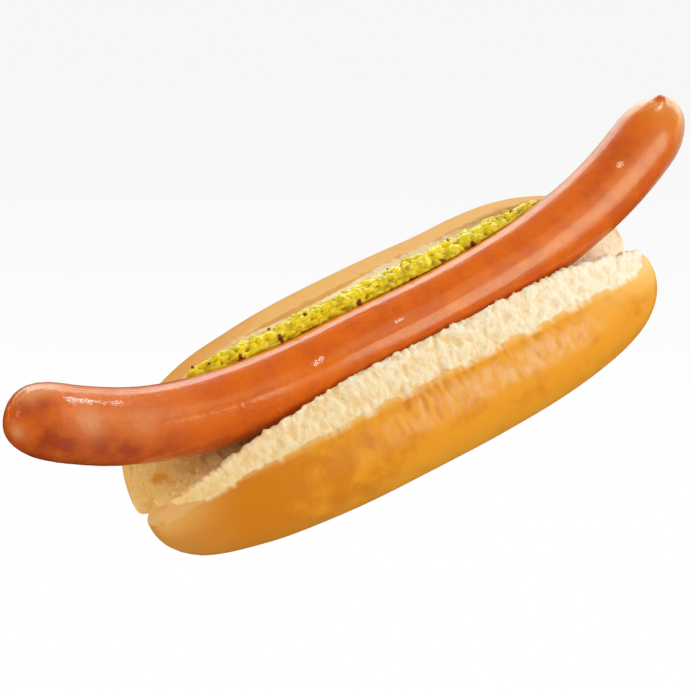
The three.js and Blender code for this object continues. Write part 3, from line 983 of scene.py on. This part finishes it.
def crust_tint(tree, settings, at):
    """Golden with browner patches, paler round the ends, and painted light: yellower towards the underside
    as painted floor bounce, a painted sheen and painted wrinkle shade under the near lip, and a tone of its
    own on the far side.
    """
    bias = math_node(tree, "SUBTRACT", times(tree, at.leftward, 0.5), 0.15)
    tones = settings.crust_colour, settings.brown_colour, settings.base_colour
    crust, patch = mottle(tree, at.place, tones, 110.0, 620.0, 0.3, bias)
    # Painted bounce light from the floor: the crust turns paler and yellower towards the underside.
    low = map_range(tree, at.z, 0.022, 0.004, 0.0, 0.85)
    low = times(tree, low, map_range(tree, at.leftward, 0.5, 1.0, 1.0, 0.3))
    edge = map_range(tree, at.below_lip, 0.0024, 0.0004)
    edge = times(tree, edge, map_range(tree, at.x, -0.065, -0.04, 0.0, 0.4))
    right_end = map_range(tree, at.x, 0.045, 0.07, 0.0, 0.55)
    right_end = times(tree, right_end, map_range(tree, at.below_lip, 0.008, 0.001))
    # Painted light: the far side's crust gets a paler, duller tone of its own, set for the strong back
    # light that falls there.
    far_side = times(tree, at.farther, map_range(tree, patch, 0.0, 1.0, 0.95, 0.6))
    return layered(tree, crust, (
        (low, settings.base_colour),
        (peach_band(tree, at), settings.peach_colour),
        # Painted shade in the troughs of the crust's wrinkles, and painted highlights on their ridges.
        (map_range(tree, at.fold, -0.02, -0.4, 0.0, 0.5), settings.brown_colour),
        (map_range(tree, at.fold, 0.02, 0.4, 0.0, 0.4), settings.peach_colour),
        (edge, settings.skin_colour),
        (right_end, settings.skin_colour),
        (far_side, settings.far_colour),
        (times(tree, at.skin, 0.7), settings.skin_colour),
        (map_range(tree, at.below_lip, 0.0008, 0.0, 0.0, 0.3), settings.straw_colour),
    ))


def crumb_tint(tree, settings, at):
    """Cream, whiter to the right, with painted straw shade in the bubbles and painted golden bounce light
    deep in the split.
    """
    white = settings.white_colour
    cream = layered(tree, settings.crumb_colour, (
        (times(tree, at.leftward, 0.5), settings.straw_colour),
        (at.rightward, white),
        (map_range(tree, at.below_lip, -0.006, -0.011, 0.0, 0.6), white),
    ))
    straw = mix_colour(tree, times(tree, at.rightward, 0.45), settings.straw_colour, white)
    crumb, _ = mottle(tree, at.grain, (cream, straw, white), 330.0, 1100.0, 0.6, -0.12)
    # Painted light: crumb beside the relish is brightened and warmed against the shade the relish casts.
    beside_relish = times(tree, at.farther, map_range(tree, at.x, 0.06, 0.075, 0.8, 0.15))
    # Painted bounce light from the sausage, on the crumb deep in the split towards the left.
    hollow = times(tree, at.deep, map_range(tree, at.x, 0.04, -0.03, 0.0, 0.75))
    # Laid over the crumb: painted shade in the bubbles, painted light beside the relish, painted bounce
    # light in the split, and the orange spot.
    return layered(tree, crumb, (
        (times(tree, at.pit, 0.75), straw),
        (beside_relish, settings.far_crumb_colour),
        (hollow, settings.hollow_colour),
        (at.stain, settings.stain_colour),
    ))


def bread_normal(tree, at):
    """Fibres on the crumb, and fine skin with soft wrinkles on the crust."""
    fibres = noise_texture(tree, at.grain, 1300.0, 3.0, 0.6)
    fine = noise_texture(tree, at.place, 900.0, 3.0, 0.6)
    wrinkles = noise_texture(tree, stretched(tree, at.place, (1.0, 0.6, 0.6)), 360.0, 1.0, 0.4)
    skin = math_node(tree, "ADD", times(tree, fine, 0.5), wrinkles)
    on_crust = math_node(tree, "SUBTRACT", 1.0, at.crumb)
    normal = bump(tree, times(tree, fibres, at.crumb), 0.0005)
    return bump(tree, times(tree, skin, on_crust), 0.0003, 0.5, normal)


def bread_material(settings):
    """Golden crust outside, cream crumb on the cut faces, with a soft line between them."""
    material, tree, shader = new_material("bread")
    at = bread_inputs(tree)
    crust, crumb = crust_tint(tree, settings, at), crumb_tint(tree, settings, at)
    set_inputs(tree, shader, {
        "Base Color": mix_colour(tree, at.crumb, crust, crumb),
        "Roughness": map_range(tree, at.crumb, 0.0, 1.0, 0.45, 0.9),
        "Normal": bread_normal(tree, at),
        "Subsurface Weight": map_range(tree, at.crumb, 0.0, 1.0, 0.12, 0.25),
        "Subsurface Radius": (1.0, 0.6, 0.3),
        "Subsurface Scale": 0.0014,
        "Specular IOR Level": 0.15,
    })
    return material


def casing_tint(tree, settings, place, cloth, masks):
    """(colour, patches) of the casing: grilled darker places with painted shade underneath, paler skin
    under a painted sheen, a tan tip, and painted glints.
    """
    scorch, blush, tip, knot, glint = masks
    tones = settings.casing_colour, settings.deep_colour, settings.fleck_colour
    colour, patch = mottle(tree, place, tones, 130.0, 800.0, 0.4, -0.02)
    blotch = map_range(tree, noise_texture(tree, place, 260.0, 3.0, 0.6), 0.25, 0.75, 0.45, 1.0)
    # The scorch mask holds the grilled places and the painted shade on the underside.
    burnt = math_node(tree, "MULTIPLY", scorch, blotch, clamp=True)
    # Painted glints: where the glint mask and fine crinkle noise add up, the colour turns pale, as a
    # highlight.
    crinkles = noise_texture(tree, stretched(tree, cloth, (0.7, 1.0, 1.0)), 3000.0, 0.0, 0.5)
    sparks = map_range(tree, math_node(tree, "ADD", glint, crinkles), 1.24, 1.44, 0.0, 0.9)
    colour = layered(tree, colour, (
        (times(tree, burnt, 0.85), settings.scorch_colour),
        (times(tree, blush, 0.8), settings.blush_colour),
        (times(tree, tip, 0.8), settings.tip_colour),
        (knot, settings.knot_colour),
        (sparks, settings.glint_colour),
    ))
    return colour, patch


def casing_normal(tree, place, cloth):
    """Shallow dents, fine streaks along the casing, and pores."""
    dents = noise_texture(tree, stretched(tree, place, (0.8, 1.0, 1.0)), 190.0, 2.0, 0.5)
    streaks = noise_texture(tree, stretched(tree, cloth, (0.22, 1.0, 1.0)), 1400.0, 3.0, 0.6)
    pores = noise_texture(tree, place, 800.0, 2.0, 0.5)
    normal = bump(tree, dents, 0.0009, 0.5)
    normal = bump(tree, streaks, 0.00013, 0.6, normal)
    return bump(tree, pores, 0.0003, 0.5, normal)


def casing_material(settings):
    """Shiny grilled casing, less glossy towards the right end and in a few dull places."""
    material, tree, shader = new_material("casing")
    place, axes = object_place(tree)
    cloth = attribute(tree, "cloth", "Vector")
    *masks, dull = (attribute(tree, name) for name in CASING_MASKS)
    colour, patch = casing_tint(tree, settings, place, cloth, masks)
    set_inputs(tree, shader, {
        "Base Color": colour,
        "Roughness": map_range(tree, patch, 0.0, 1.0, 0.28, 0.38),
        "Normal": casing_normal(tree, place, cloth),
        "Subsurface Weight": 0.12,
        "Subsurface Radius": (1.0, 0.3, 0.12),
        "Subsurface Scale": 0.0025,
        "Coat Weight": map_range(tree, dull, 0.0, 1.0, 0.75, 0.2),
        "Coat Roughness": map_range(tree, axes["X"], 0.02, 0.08, 0.13, 0.23),
        "Specular IOR Level": 0.16,
    })
    return material


def relish_material(name, light, dark, fleck, juice, spice, translucency):
    """Wet pickle: glossy and a little clear, each bit with a tone of its own."""
    material, tree, shader = new_material(name)
    place, _ = object_place(tree)
    tone, gap, speck = (attribute(tree, name) for name in RELISH_MASKS)
    colour, _ = mottle(tree, place, (light, dark, fleck), 300.0, 1500.0, 0.4, -0.12)
    # The gap layer is juice and painted shade between the pieces.
    colour = layered(tree, colour, (
        (map_range(tree, tone, 0.5, 1.0, 0.0, 0.55), dark),
        (map_range(tree, tone, 0.3, 0.0, 0.0, 0.6), fleck),
        (times(tree, gap, 0.9), juice),
        (speck, spice),
    ))
    grain = noise_texture(tree, place, 1300.0, 2.0, 0.5)
    set_inputs(tree, shader, {
        "Base Color": colour,
        "Roughness": map_range(tree, grain, 0.3, 0.7, 0.12, 0.3),
        "Normal": bump(tree, grain, 0.0002, 0.5),
        "Subsurface Weight": translucency,
        "Subsurface Radius": (1.0, 0.8, 0.2),
        "Subsurface Scale": 0.0015,
        "Coat Weight": map_range(tree, speck, 0.0, 1.0, 0.2, 0.0),
        "Coat Roughness": 0.12,
        "Specular IOR Level": 0.3,
    })
    return material


# -------------------------------------------------------------------------- geometry nodes
def scatter_tree(name, material, collection):
    """Scatters the objects of a collection over a surface, and stores a tone on each."""
    tree = bpy.data.node_groups.new(name, "GeometryNodeTree")
    face = tree.interface
    face.new_socket("Geometry", in_out="INPUT", socket_type="NodeSocketGeometry")
    for socket, kind, value in (
        ("Density", "NodeSocketFloat", 1.0),
        ("Spacing", "NodeSocketFloat", 0.001),
        ("Smallest", "NodeSocketFloat", 0.7),
        ("Largest", "NodeSocketFloat", 1.3),
        ("Sink", "NodeSocketFloat", 0.0),
        ("Seed", "NodeSocketInt", 1),
    ):
        item = face.new_socket(socket, in_out="INPUT", socket_type=kind)
        item.default_value = value
    face.new_socket("Geometry", in_out="OUTPUT", socket_type="NodeSocketGeometry")
    given = tree.nodes.new("NodeGroupInput").outputs
    where = new_node(tree, "GeometryNodeInputNamedAttribute", {"Name": "where"}, data_type="FLOAT")
    scatter = new_node(
        tree,
        "GeometryNodeDistributePointsOnFaces",
        {
            "Mesh": given["Geometry"],
            "Distance Min": given["Spacing"],
            "Density Max": given["Density"],
            "Density Factor": where.outputs["Attribute"],
            "Seed": given["Seed"],
        },
        distribute_method="POISSON",
    )
    sunk = new_node(
        tree,
        "ShaderNodeVectorMath",
        {0: scatter.outputs["Normal"], 3: given["Sink"]},
        operation="SCALE",
    )
    moved = new_node(
        tree,
        "GeometryNodeSetPosition",
        {"Geometry": scatter.outputs["Points"], "Offset": sunk.outputs[0]},
    )
    source = new_node(
        tree,
        "GeometryNodeCollectionInfo",
        {"Collection": collection, "Separate Children": True, "Reset Children": True},
    )
    turn = new_node(
        tree,
        "FunctionNodeRandomValue",
        {1: (math.tau,) * 3, "Seed": given["Seed"]},
        data_type="FLOAT_VECTOR",
    )
    size = new_node(
        tree,
        "FunctionNodeRandomValue",
        {2: given["Smallest"], 3: given["Largest"], "Seed": given["Seed"]},
        data_type="FLOAT",
    )
    placed = new_node(
        tree,
        "GeometryNodeInstanceOnPoints",
        {
            "Points": moved.outputs["Geometry"],
            "Instance": source.outputs["Instances"],
            "Pick Instance": True,
            "Rotation": turn.outputs[0],
            "Scale": size.outputs[1],
        },
    )
    tone = new_node(tree, "FunctionNodeRandomValue", {"Seed": given["Seed"]}, data_type="FLOAT")
    stored = new_node(
        tree,
        "GeometryNodeStoreNamedAttribute",
        {"Geometry": placed.outputs["Instances"], "Name": "tone"},
        data_type="FLOAT",
        domain="INSTANCE",
    )
    value = next(socket for socket in stored.inputs if socket.name == "Value" and socket.enabled)
    tree.links.new(tone.outputs[1], value)
    real = new_node(tree, "GeometryNodeRealizeInstances", {"Geometry": stored.outputs["Geometry"]})
    painted = new_node(
        tree,
        "GeometryNodeSetMaterial",
        {"Geometry": real.outputs["Geometry"], "Material": material},
    )
    result = tree.nodes.new("NodeGroupOutput")
    tree.links.new(painted.outputs["Geometry"], result.inputs["Geometry"])
    return tree


def chip_collection(name, count, stretch, roundness, seed):
    """A hidden collection of chip shapes to scatter."""
    collection = bpy.data.collections.new(name)
    for number in range(count):
        change = [noise.noise(Vector((seed + number, i, 0.5))) for i in range(3)]
        sizes = [stretch[i] * (1 + 0.25 * change[i]) for i in range(3)]
        mesh = chip_mesh(f"{name}_{number}", seed + 3.7 * number, sizes, roundness)
        collection.objects.link(bpy.data.objects.new(mesh.name, mesh))
    return collection


def scatter(name, base_mesh, material, collection, values):
    """A plain mesh object of what a scatter tree makes over base_mesh."""
    carrier = add_object(name + "_carrier", base_mesh, material)
    tree = scatter_tree(name + "_scatter", material, collection)
    modifier = carrier.modifiers.new("scatter", "NODES")
    modifier.node_group = tree
    for item in tree.interface.items_tree:
        if item.item_type == "SOCKET" and item.in_out == "INPUT" and item.name in values:
            modifier[item.identifier] = values[item.name]
    evaluated = carrier.evaluated_get(bpy.context.evaluated_depsgraph_get())
    mesh = bpy.data.meshes.new_from_object(evaluated)
    mesh.name = name
    carrier.modifiers.remove(modifier)
    bpy.data.objects.remove(carrier)
    for item in list(collection.objects):
        bpy.data.objects.remove(item)
    bpy.data.collections.remove(collection)
    return add_object(name, mesh)


# -------------------------------------------------------------------------------- settings
def colour_property(name, description, value):
    return FloatVectorProperty(
        name=name, description=description, default=value, size=3, subtype="COLOR", min=0.0, max=1.0
    )


def power_property(name, description, value):
    return FloatProperty(name=name, description=description, default=value, unit="POWER", min=0.0)


class BunSettings(PropertyGroup):
    """Looks of the bun."""

    crumb_depth: FloatProperty(
        name="Crumb depth",
        description="How far the torn crumb stands up, in millimetres",
        default=0.9,
        min=0.0,
    )
    crust_colour: colour_property("Crust", "Golden top of the crust", (0.82, 0.32, 0.012))
    # Browner patches of the crust, and the painted shade in the troughs of its wrinkles.
    brown_colour: colour_property("Browned", "Darker patches of the crust", (0.66, 0.205, 0.003))
    # Pale crust flecks, and the painted bounce light on the crust towards the underside.
    base_colour: colour_property("Pale crust", "Yellower crust towards the underside", (0.68, 0.31, 0.02))
    skin_colour: colour_property("Skin", "Palest crust, round the ends", (0.92, 0.56, 0.16))
    # Painted sheen under the near lip and on the ridges of the wrinkles.
    peach_colour: colour_property("Peach", "Paler crust under the near lip", (0.84, 0.42, 0.16))
    # Painted light: the far side's own crust tone, set for the back light there.
    far_colour: colour_property("Far crust", "Crust of the far side", (0.76, 0.375, 0.07))
    crumb_colour: colour_property("Crumb", "Cream of the torn crumb", (0.98, 0.81, 0.53))
    # Painted bounce light from the sausage, deep in the groove.
    hollow_colour: colour_property("Hollow", "Golden crumb deep in the split", (1.0, 0.64, 0.16))
    white_colour: colour_property("White", "Whitest crumb, towards the right end", (1.0, 0.88, 0.67))
    # Painted light: brighter, warmer crumb beside the relish, where the relish shades it.
    far_crumb_colour: colour_property("Far crumb", "Warm crumb beside the relish", (1.0, 0.78, 0.48))
    stain_colour: colour_property("Stain", "Small orange place in the left end", (0.85, 0.38, 0.03))
    # Straw tone of the crumb, also the painted shade in its bubbles and holes.
    straw_colour: colour_property("Straw", "Deeper colour inside the crumb's bubbles", (0.93, 0.62, 0.27))


class SausageSettings(PropertyGroup):
    """Looks of the sausage."""

    casing_colour: colour_property("Casing", "Main colour of the casing", (0.75, 0.142, 0.002))
    deep_colour: colour_property("Deep", "Redder patches of the casing", (0.66, 0.10, 0.0015))
    fleck_colour: colour_property("Flecks", "Small darker flecks", (0.52, 0.07, 0.004))
    # Darkest grilled places, and the painted shade under the sausage.
    scorch_colour: colour_property("Scorched", "Darkest grilled places", (0.34, 0.03, 0.006))
    tip_colour: colour_property("Tip", "Tan right tip", (0.70, 0.27, 0.012))
    knot_colour: colour_property("Knot", "The knot at the right tip", (0.62, 0.09, 0.01))
    # Paler tan skin and the painted sheen round the left tip.
    blush_colour: colour_property("Blush", "Tan patches round the left tip", (0.76, 0.31, 0.13))
    # Colour of the painted glints on the casing.
    glint_colour: colour_property("Glints", "Palest crinkles of the casing", (1.0, 0.86, 0.74))


class RelishSettings(PropertyGroup):
    """Looks of the relish."""

    bit_density: FloatProperty(
        name="Bits",
        description="Loose bits for each square metre",
        default=18000.0,
        min=0.0,
    )
    bit_spacing: FloatProperty(
        name="Spacing",
        description="Least distance between two bits",
        default=0.002,
        unit="LENGTH",
        min=0.0,
    )
    seed: IntProperty(name="Seed", description="Changes where the bits lie", default=4, min=0)
    pickle_colour: colour_property("Pickle", "Yellow-green of the chopped pickle", (0.90, 0.67, 0.006))
    olive_colour: colour_property("Olive", "Darker green bits", (0.50, 0.38, 0.01))
    glaze_colour: colour_property("Glaze", "Palest, clearest bits", (0.95, 0.76, 0.05))
    # Brown-green juice between the bits, also their painted shade.
    juice_colour: colour_property("Juice", "Brown-green sauce between the bits", (0.46, 0.24, 0.01))
    seed_colour: colour_property("Seeds", "Brown specks of spice", (0.24, 0.035, 0.008))


WHITE = (1.0, 1.0, 1.0)
COOL = (0.75, 1.0, 0.92)
MILD = (0.65, 1.0, 0.68)
# Panels round the hot dog: name, size in metres, elevation and bearing in degrees, distance in
# metres and colour. The bearing runs from the camera's right, 0, to behind the hot dog, 90.
# Fills light the food and aren't mirrored; reflectors only show as gloss.
FILLS = (
    ("far", (0.36, 0.36), 7.0, 105.0, 0.8, WHITE),
    ("left", (0.36, 0.36), 7.0, 180.0, 0.8, WHITE),
    ("corner", (0.36, 0.36), 24.0, 45.0, 0.8, WHITE),
    ("right", (0.36, 0.36), 30.0, -20.0, 0.8, WHITE),
)
REFLECTORS = (
    ("back", (2.2, 0.3), 7.0, 76.0, 1.17, COOL),
    ("strip", (0.5, 0.42), 32.5, -20.5, 0.8, MILD),
    ("low", (0.24, 0.22), 12.0, -17.0, 0.8, MILD),
    ("sheen", (0.5, 0.34), 59.0, 3.0, 0.8, MILD),
    ("glint", (0.14, 0.1), 37.0, 63.0, 0.8, WHITE),
)


class StageSettings(PropertyGroup):
    """Camera and lights."""

    azimuth: FloatProperty(
        name="Azimuth",
        description="Where the camera stands, turned from the front",
        default=math.radians(-31.3),
        subtype="ANGLE",
    )
    elevation: FloatProperty(
        name="Elevation",
        description="How steeply the camera looks down",
        default=math.radians(55),
        subtype="ANGLE",
    )
    distance: FloatProperty(
        name="Distance",
        description="Camera to hot dog",
        default=0.6,
        unit="LENGTH",
    )
    lens: FloatProperty(name="Lens", description="Focal length", default=107.4, unit="CAMERA")
    world_strength: FloatProperty(
        name="Surround",
        description="Strength of the even light from all round",
        default=0.79,
    )
    card_glow: FloatProperty(
        name="Card glow",
        description="Brightness of the table in reflections",
        default=6.0,
    )
    far_power: power_property("Far fill", "Power of the fill behind the hot dog", 1.5)
    left_power: power_property("Left fill", "Power of the left fill", 1.65)
    corner_power: power_property("Corner fill", "Power of the far right fill", 1.0)
    right_power: power_property("Right fill", "Power of the right fill", 1.8)
    back_power: power_property("Back gloss", "Power of the long reflector", 10.0)
    strip_power: power_property("Strip gloss", "Power of the near reflector", 3.1)
    low_power: power_property("Low gloss", "Power of the low reflector", 0.65)
    sheen_power: power_property("Sheen gloss", "Power of the high reflector", 0.65)
    glint_power: power_property("Glint gloss", "Power of the smallest reflector", 1.0)


# ------------------------------------------------------------------------------- operators
class HOTDOG_OT_stage(Operator):
    """Sets up the camera, the soft lights and the pale floor"""

    bl_idname = "hotdog.stage"
    bl_label = "Stage"

    # The point that the camera and all panels face.
    AIM = Vector((-11.8, 8.16, 26.0)) * MM
    SHEET_HALF_WIDTH = 6.0

    def execute(self, context):
        settings = context.scene.hotdog_stage
        self.add_camera(context, settings)
        for place in FILLS:
            self.add_panel(settings, *place).visible_glossy = False
        for place in REFLECTORS:
            self.add_panel(settings, *place).visible_diffuse = False
        self.add_surround(context, settings)
        self.add_floor(settings)
        return {"FINISHED"}

    def add_surround(self, context, settings):
        """Even light from all round, which isn't mirrored."""
        world = bpy.data.worlds.new("surround")
        context.scene.world = world
        world.use_nodes = True
        shader = world.node_tree.nodes["Background"]
        shader.inputs["Color"].default_value = (*WHITE, 1.0)
        shader.inputs["Strength"].default_value = settings.world_strength
        world.cycles_visibility.glossy = False
        context.scene.view_settings.view_transform = "Standard"

    def add_camera(self, context, settings):
        azimuth, elevation = settings.azimuth, settings.elevation
        back = Vector((
            math.sin(azimuth) * math.cos(elevation),
            -math.cos(azimuth) * math.cos(elevation),
            math.sin(elevation),
        ))
        data = bpy.data.cameras.new("camera")
        data.sensor_width = 36.0
        data.lens = settings.lens
        camera = bpy.data.objects.new("camera", data)
        context.scene.collection.objects.link(camera)
        camera.location = self.AIM + back * settings.distance
        camera.rotation_euler = back.to_track_quat("Z", "Y").to_euler()
        context.scene.camera = camera

    def placed(self, settings, right, away, up):
        """The point so far to the right of the camera's line, away from the camera and up."""
        cos, sin = math.cos(settings.azimuth), math.sin(settings.azimuth)
        return Vector((right * cos - away * sin, right * sin + away * cos, up))

    def add_panel(self, settings, name, size, elevation, bearing, distance, colour):
        """A soft panel that faces the hot dog."""
        elevation, bearing = math.radians(elevation), math.radians(bearing)
        data = bpy.data.lights.new(name, "AREA")
        data.shape = "RECTANGLE"
        data.energy = getattr(settings, name + "_power")
        data.size, data.size_y = size
        data.color = colour
        panel = bpy.data.objects.new(name, data)
        bpy.context.scene.collection.objects.link(panel)
        flat = distance * math.cos(elevation)
        across = flat * math.cos(bearing), flat * math.sin(bearing)
        panel.location = self.AIM + self.placed(settings, *across, distance * math.sin(elevation))
        panel.rotation_euler = (panel.location - self.AIM).to_track_quat("Z", "Y").to_euler()
        return panel

    def add_sheet(self, settings, name, near, far, height):
        """A level sheet from near to far along the camera's line, which glows evenly."""
        half = self.SHEET_HALF_WIDTH
        mesh = bpy.data.meshes.new(name)
        corners = ((-half, near), (half, near), (half, far), (-half, far))
        mesh.from_pydata([self.placed(settings, *corner, height) for corner in corners], [], [(0, 1, 2, 3)])
        mesh.attributes.new("away", "FLOAT", "POINT").data.foreach_set("value", [near, near, far, far])
        material, tree, shader = new_material(name)
        set_inputs(tree, shader, {
            "Base Color": (0.0, 0.0, 0.0, 1.0),
            "Specular IOR Level": 0.0,
            "Emission Color": (*WHITE, 1.0),
        })
        sheet = add_object(name, mesh, material)
        sheet.visible_diffuse = False
        return sheet, tree, shader

    def add_floor(self, settings):
        """A pale floor, a little darker far away, and the card that the casing mirrors instead."""
        floor, tree, shader = self.add_sheet(settings, "floor", -6.0, 6.0, 0.0)
        floor.visible_glossy = False
        glow = map_range(tree, attribute(tree, "away"), -0.04, 0.13, 1.0, 0.93)
        tree.links.new(glow, shader.inputs["Emission Strength"])
        card, tree, shader = self.add_sheet(settings, "card", 0.06, 0.5, -0.002)
        shader.inputs["Emission Color"].default_value = (*COOL, 1.0)
        glow = map_range(tree, attribute(tree, "away"), 0.06, 0.5, 0.6, settings.card_glow)
        tree.links.new(glow, shader.inputs["Emission Strength"])
        card.visible_camera = False
        card.visible_shadow = False


class HOTDOG_OT_bun(Operator):
    """Makes the split bun, with its crust and its torn crumb"""

    bl_idname = "hotdog.bun"
    bl_label = "Bun"

    def execute(self, context):
        settings = context.scene.hotdog_bun
        bun = add_object("bun_loaf", bun_mesh(settings.crumb_depth), bread_material(settings))
        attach(bun, BODY)
        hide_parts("bun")
        return {"FINISHED"}


class HOTDOG_OT_sausage(Operator):
    """Makes the curved sausage with its pinched left tip and knotted right tip"""

    bl_idname = "hotdog.sausage"
    bl_label = "Sausage"

    def execute(self, context):
        material = casing_material(context.scene.hotdog_sausage)
        sausage = add_object("sausage_casing", sausage_mesh(), material)
        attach(sausage, BODY)
        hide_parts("sausage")
        return {"FINISHED"}


class HOTDOG_OT_relish(Operator):
    """Makes the relish: wet sauce, chopped pickle and specks of spice"""

    bl_idname = "hotdog.relish"
    bl_label = "Relish"

    def execute(self, context):
        settings = context.scene.hotdog_relish
        tones = settings.pickle_colour, settings.olive_colour, settings.glaze_colour
        browns = settings.juice_colour, settings.seed_colour
        dark_tones = settings.seed_colour, settings.seed_colour, settings.olive_colour
        pickle = relish_material("pickle", *tones, *browns, 0.3)
        spice = relish_material("spice", *dark_tones, *browns, 0.0)
        sauce_mesh = relish_mesh(settings.seed)
        sauce = add_object("relish_sauce", sauce_mesh, pickle)
        shapes = chip_collection("chip", **BIT_SHAPES)
        values = {
            "Density": settings.bit_density,
            "Spacing": settings.bit_spacing,
            "Seed": settings.seed,
            **BITS,
        }
        bits = scatter("pickle_bits", self.top_of(sauce_mesh, -0.2), pickle, shapes, values)
        shapes = chip_collection("speck", **SPECK_SHAPES)
        base = self.top_of(sauce_mesh, -0.4, edge=True)
        specks = scatter("spice_specks", base, spice, shapes, SPECKS)
        for piece in (sauce, bits, specks):
            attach(piece, BODY)
        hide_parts("relish")
        return {"FINISHED"}

    def top_of(self, mesh, least, edge=False):
        """A copy of the mesh that says where bits may lie: on its upper side, or along its edges."""
        copy = mesh.copy()
        facing = np.array([vertex.normal.z for vertex in copy.vertices])
        where = smooth(facing, least, least + 0.4)
        if edge:
            leaning = np.array([vertex.normal.y for vertex in copy.vertices])
            where = where * (1 - smooth(np.abs(leaning), 0.9, 0.2))
        layer = copy.attributes.new("where", "FLOAT", "POINT")
        layer.data.foreach_set("value", where.astype(np.float32))
        return copy


# ----------------------------------------------------------------------------------- panel
class HOTDOG_PT_panel(Panel):
    """Lists the pieces of the hot dog and their settings"""

    bl_idname = "HOTDOG_PT_panel"
    bl_label = "Hot Dog"
    bl_space_type = "VIEW_3D"
    bl_region_type = "UI"
    bl_category = "Hot Dog"

    def draw(self, context):
        for operator, settings in (
            ("hotdog.stage", context.scene.hotdog_stage),
            ("hotdog.bun", context.scene.hotdog_bun),
            ("hotdog.sausage", context.scene.hotdog_sausage),
            ("hotdog.relish", context.scene.hotdog_relish),
        ):
            box = self.layout.box()
            box.operator(operator)
            for key in settings.__annotations__:
                box.prop(settings, key)


CLASSES = (
    BunSettings,
    SausageSettings,
    RelishSettings,
    StageSettings,
    HOTDOG_OT_stage,
    HOTDOG_OT_bun,
    HOTDOG_OT_sausage,
    HOTDOG_OT_relish,
    HOTDOG_PT_panel,
)


def register():
    for item in CLASSES:
        bpy.utils.register_class(item)
    bpy.types.Scene.hotdog_bun = PointerProperty(type=BunSettings)
    bpy.types.Scene.hotdog_sausage = PointerProperty(type=SausageSettings)
    bpy.types.Scene.hotdog_relish = PointerProperty(type=RelishSettings)
    bpy.types.Scene.hotdog_stage = PointerProperty(type=StageSettings)


def unregister():
    del bpy.types.Scene.hotdog_stage
    del bpy.types.Scene.hotdog_relish
    del bpy.types.Scene.hotdog_sausage
    del bpy.types.Scene.hotdog_bun
    for item in reversed(CLASSES):
        bpy.utils.unregister_class(item)


def main():
    register()
    bpy.ops.hotdog.stage()
    bpy.ops.hotdog.bun()
    bpy.ops.hotdog.sausage()
    bpy.ops.hotdog.relish()


if __name__ == "__main__":
    main()
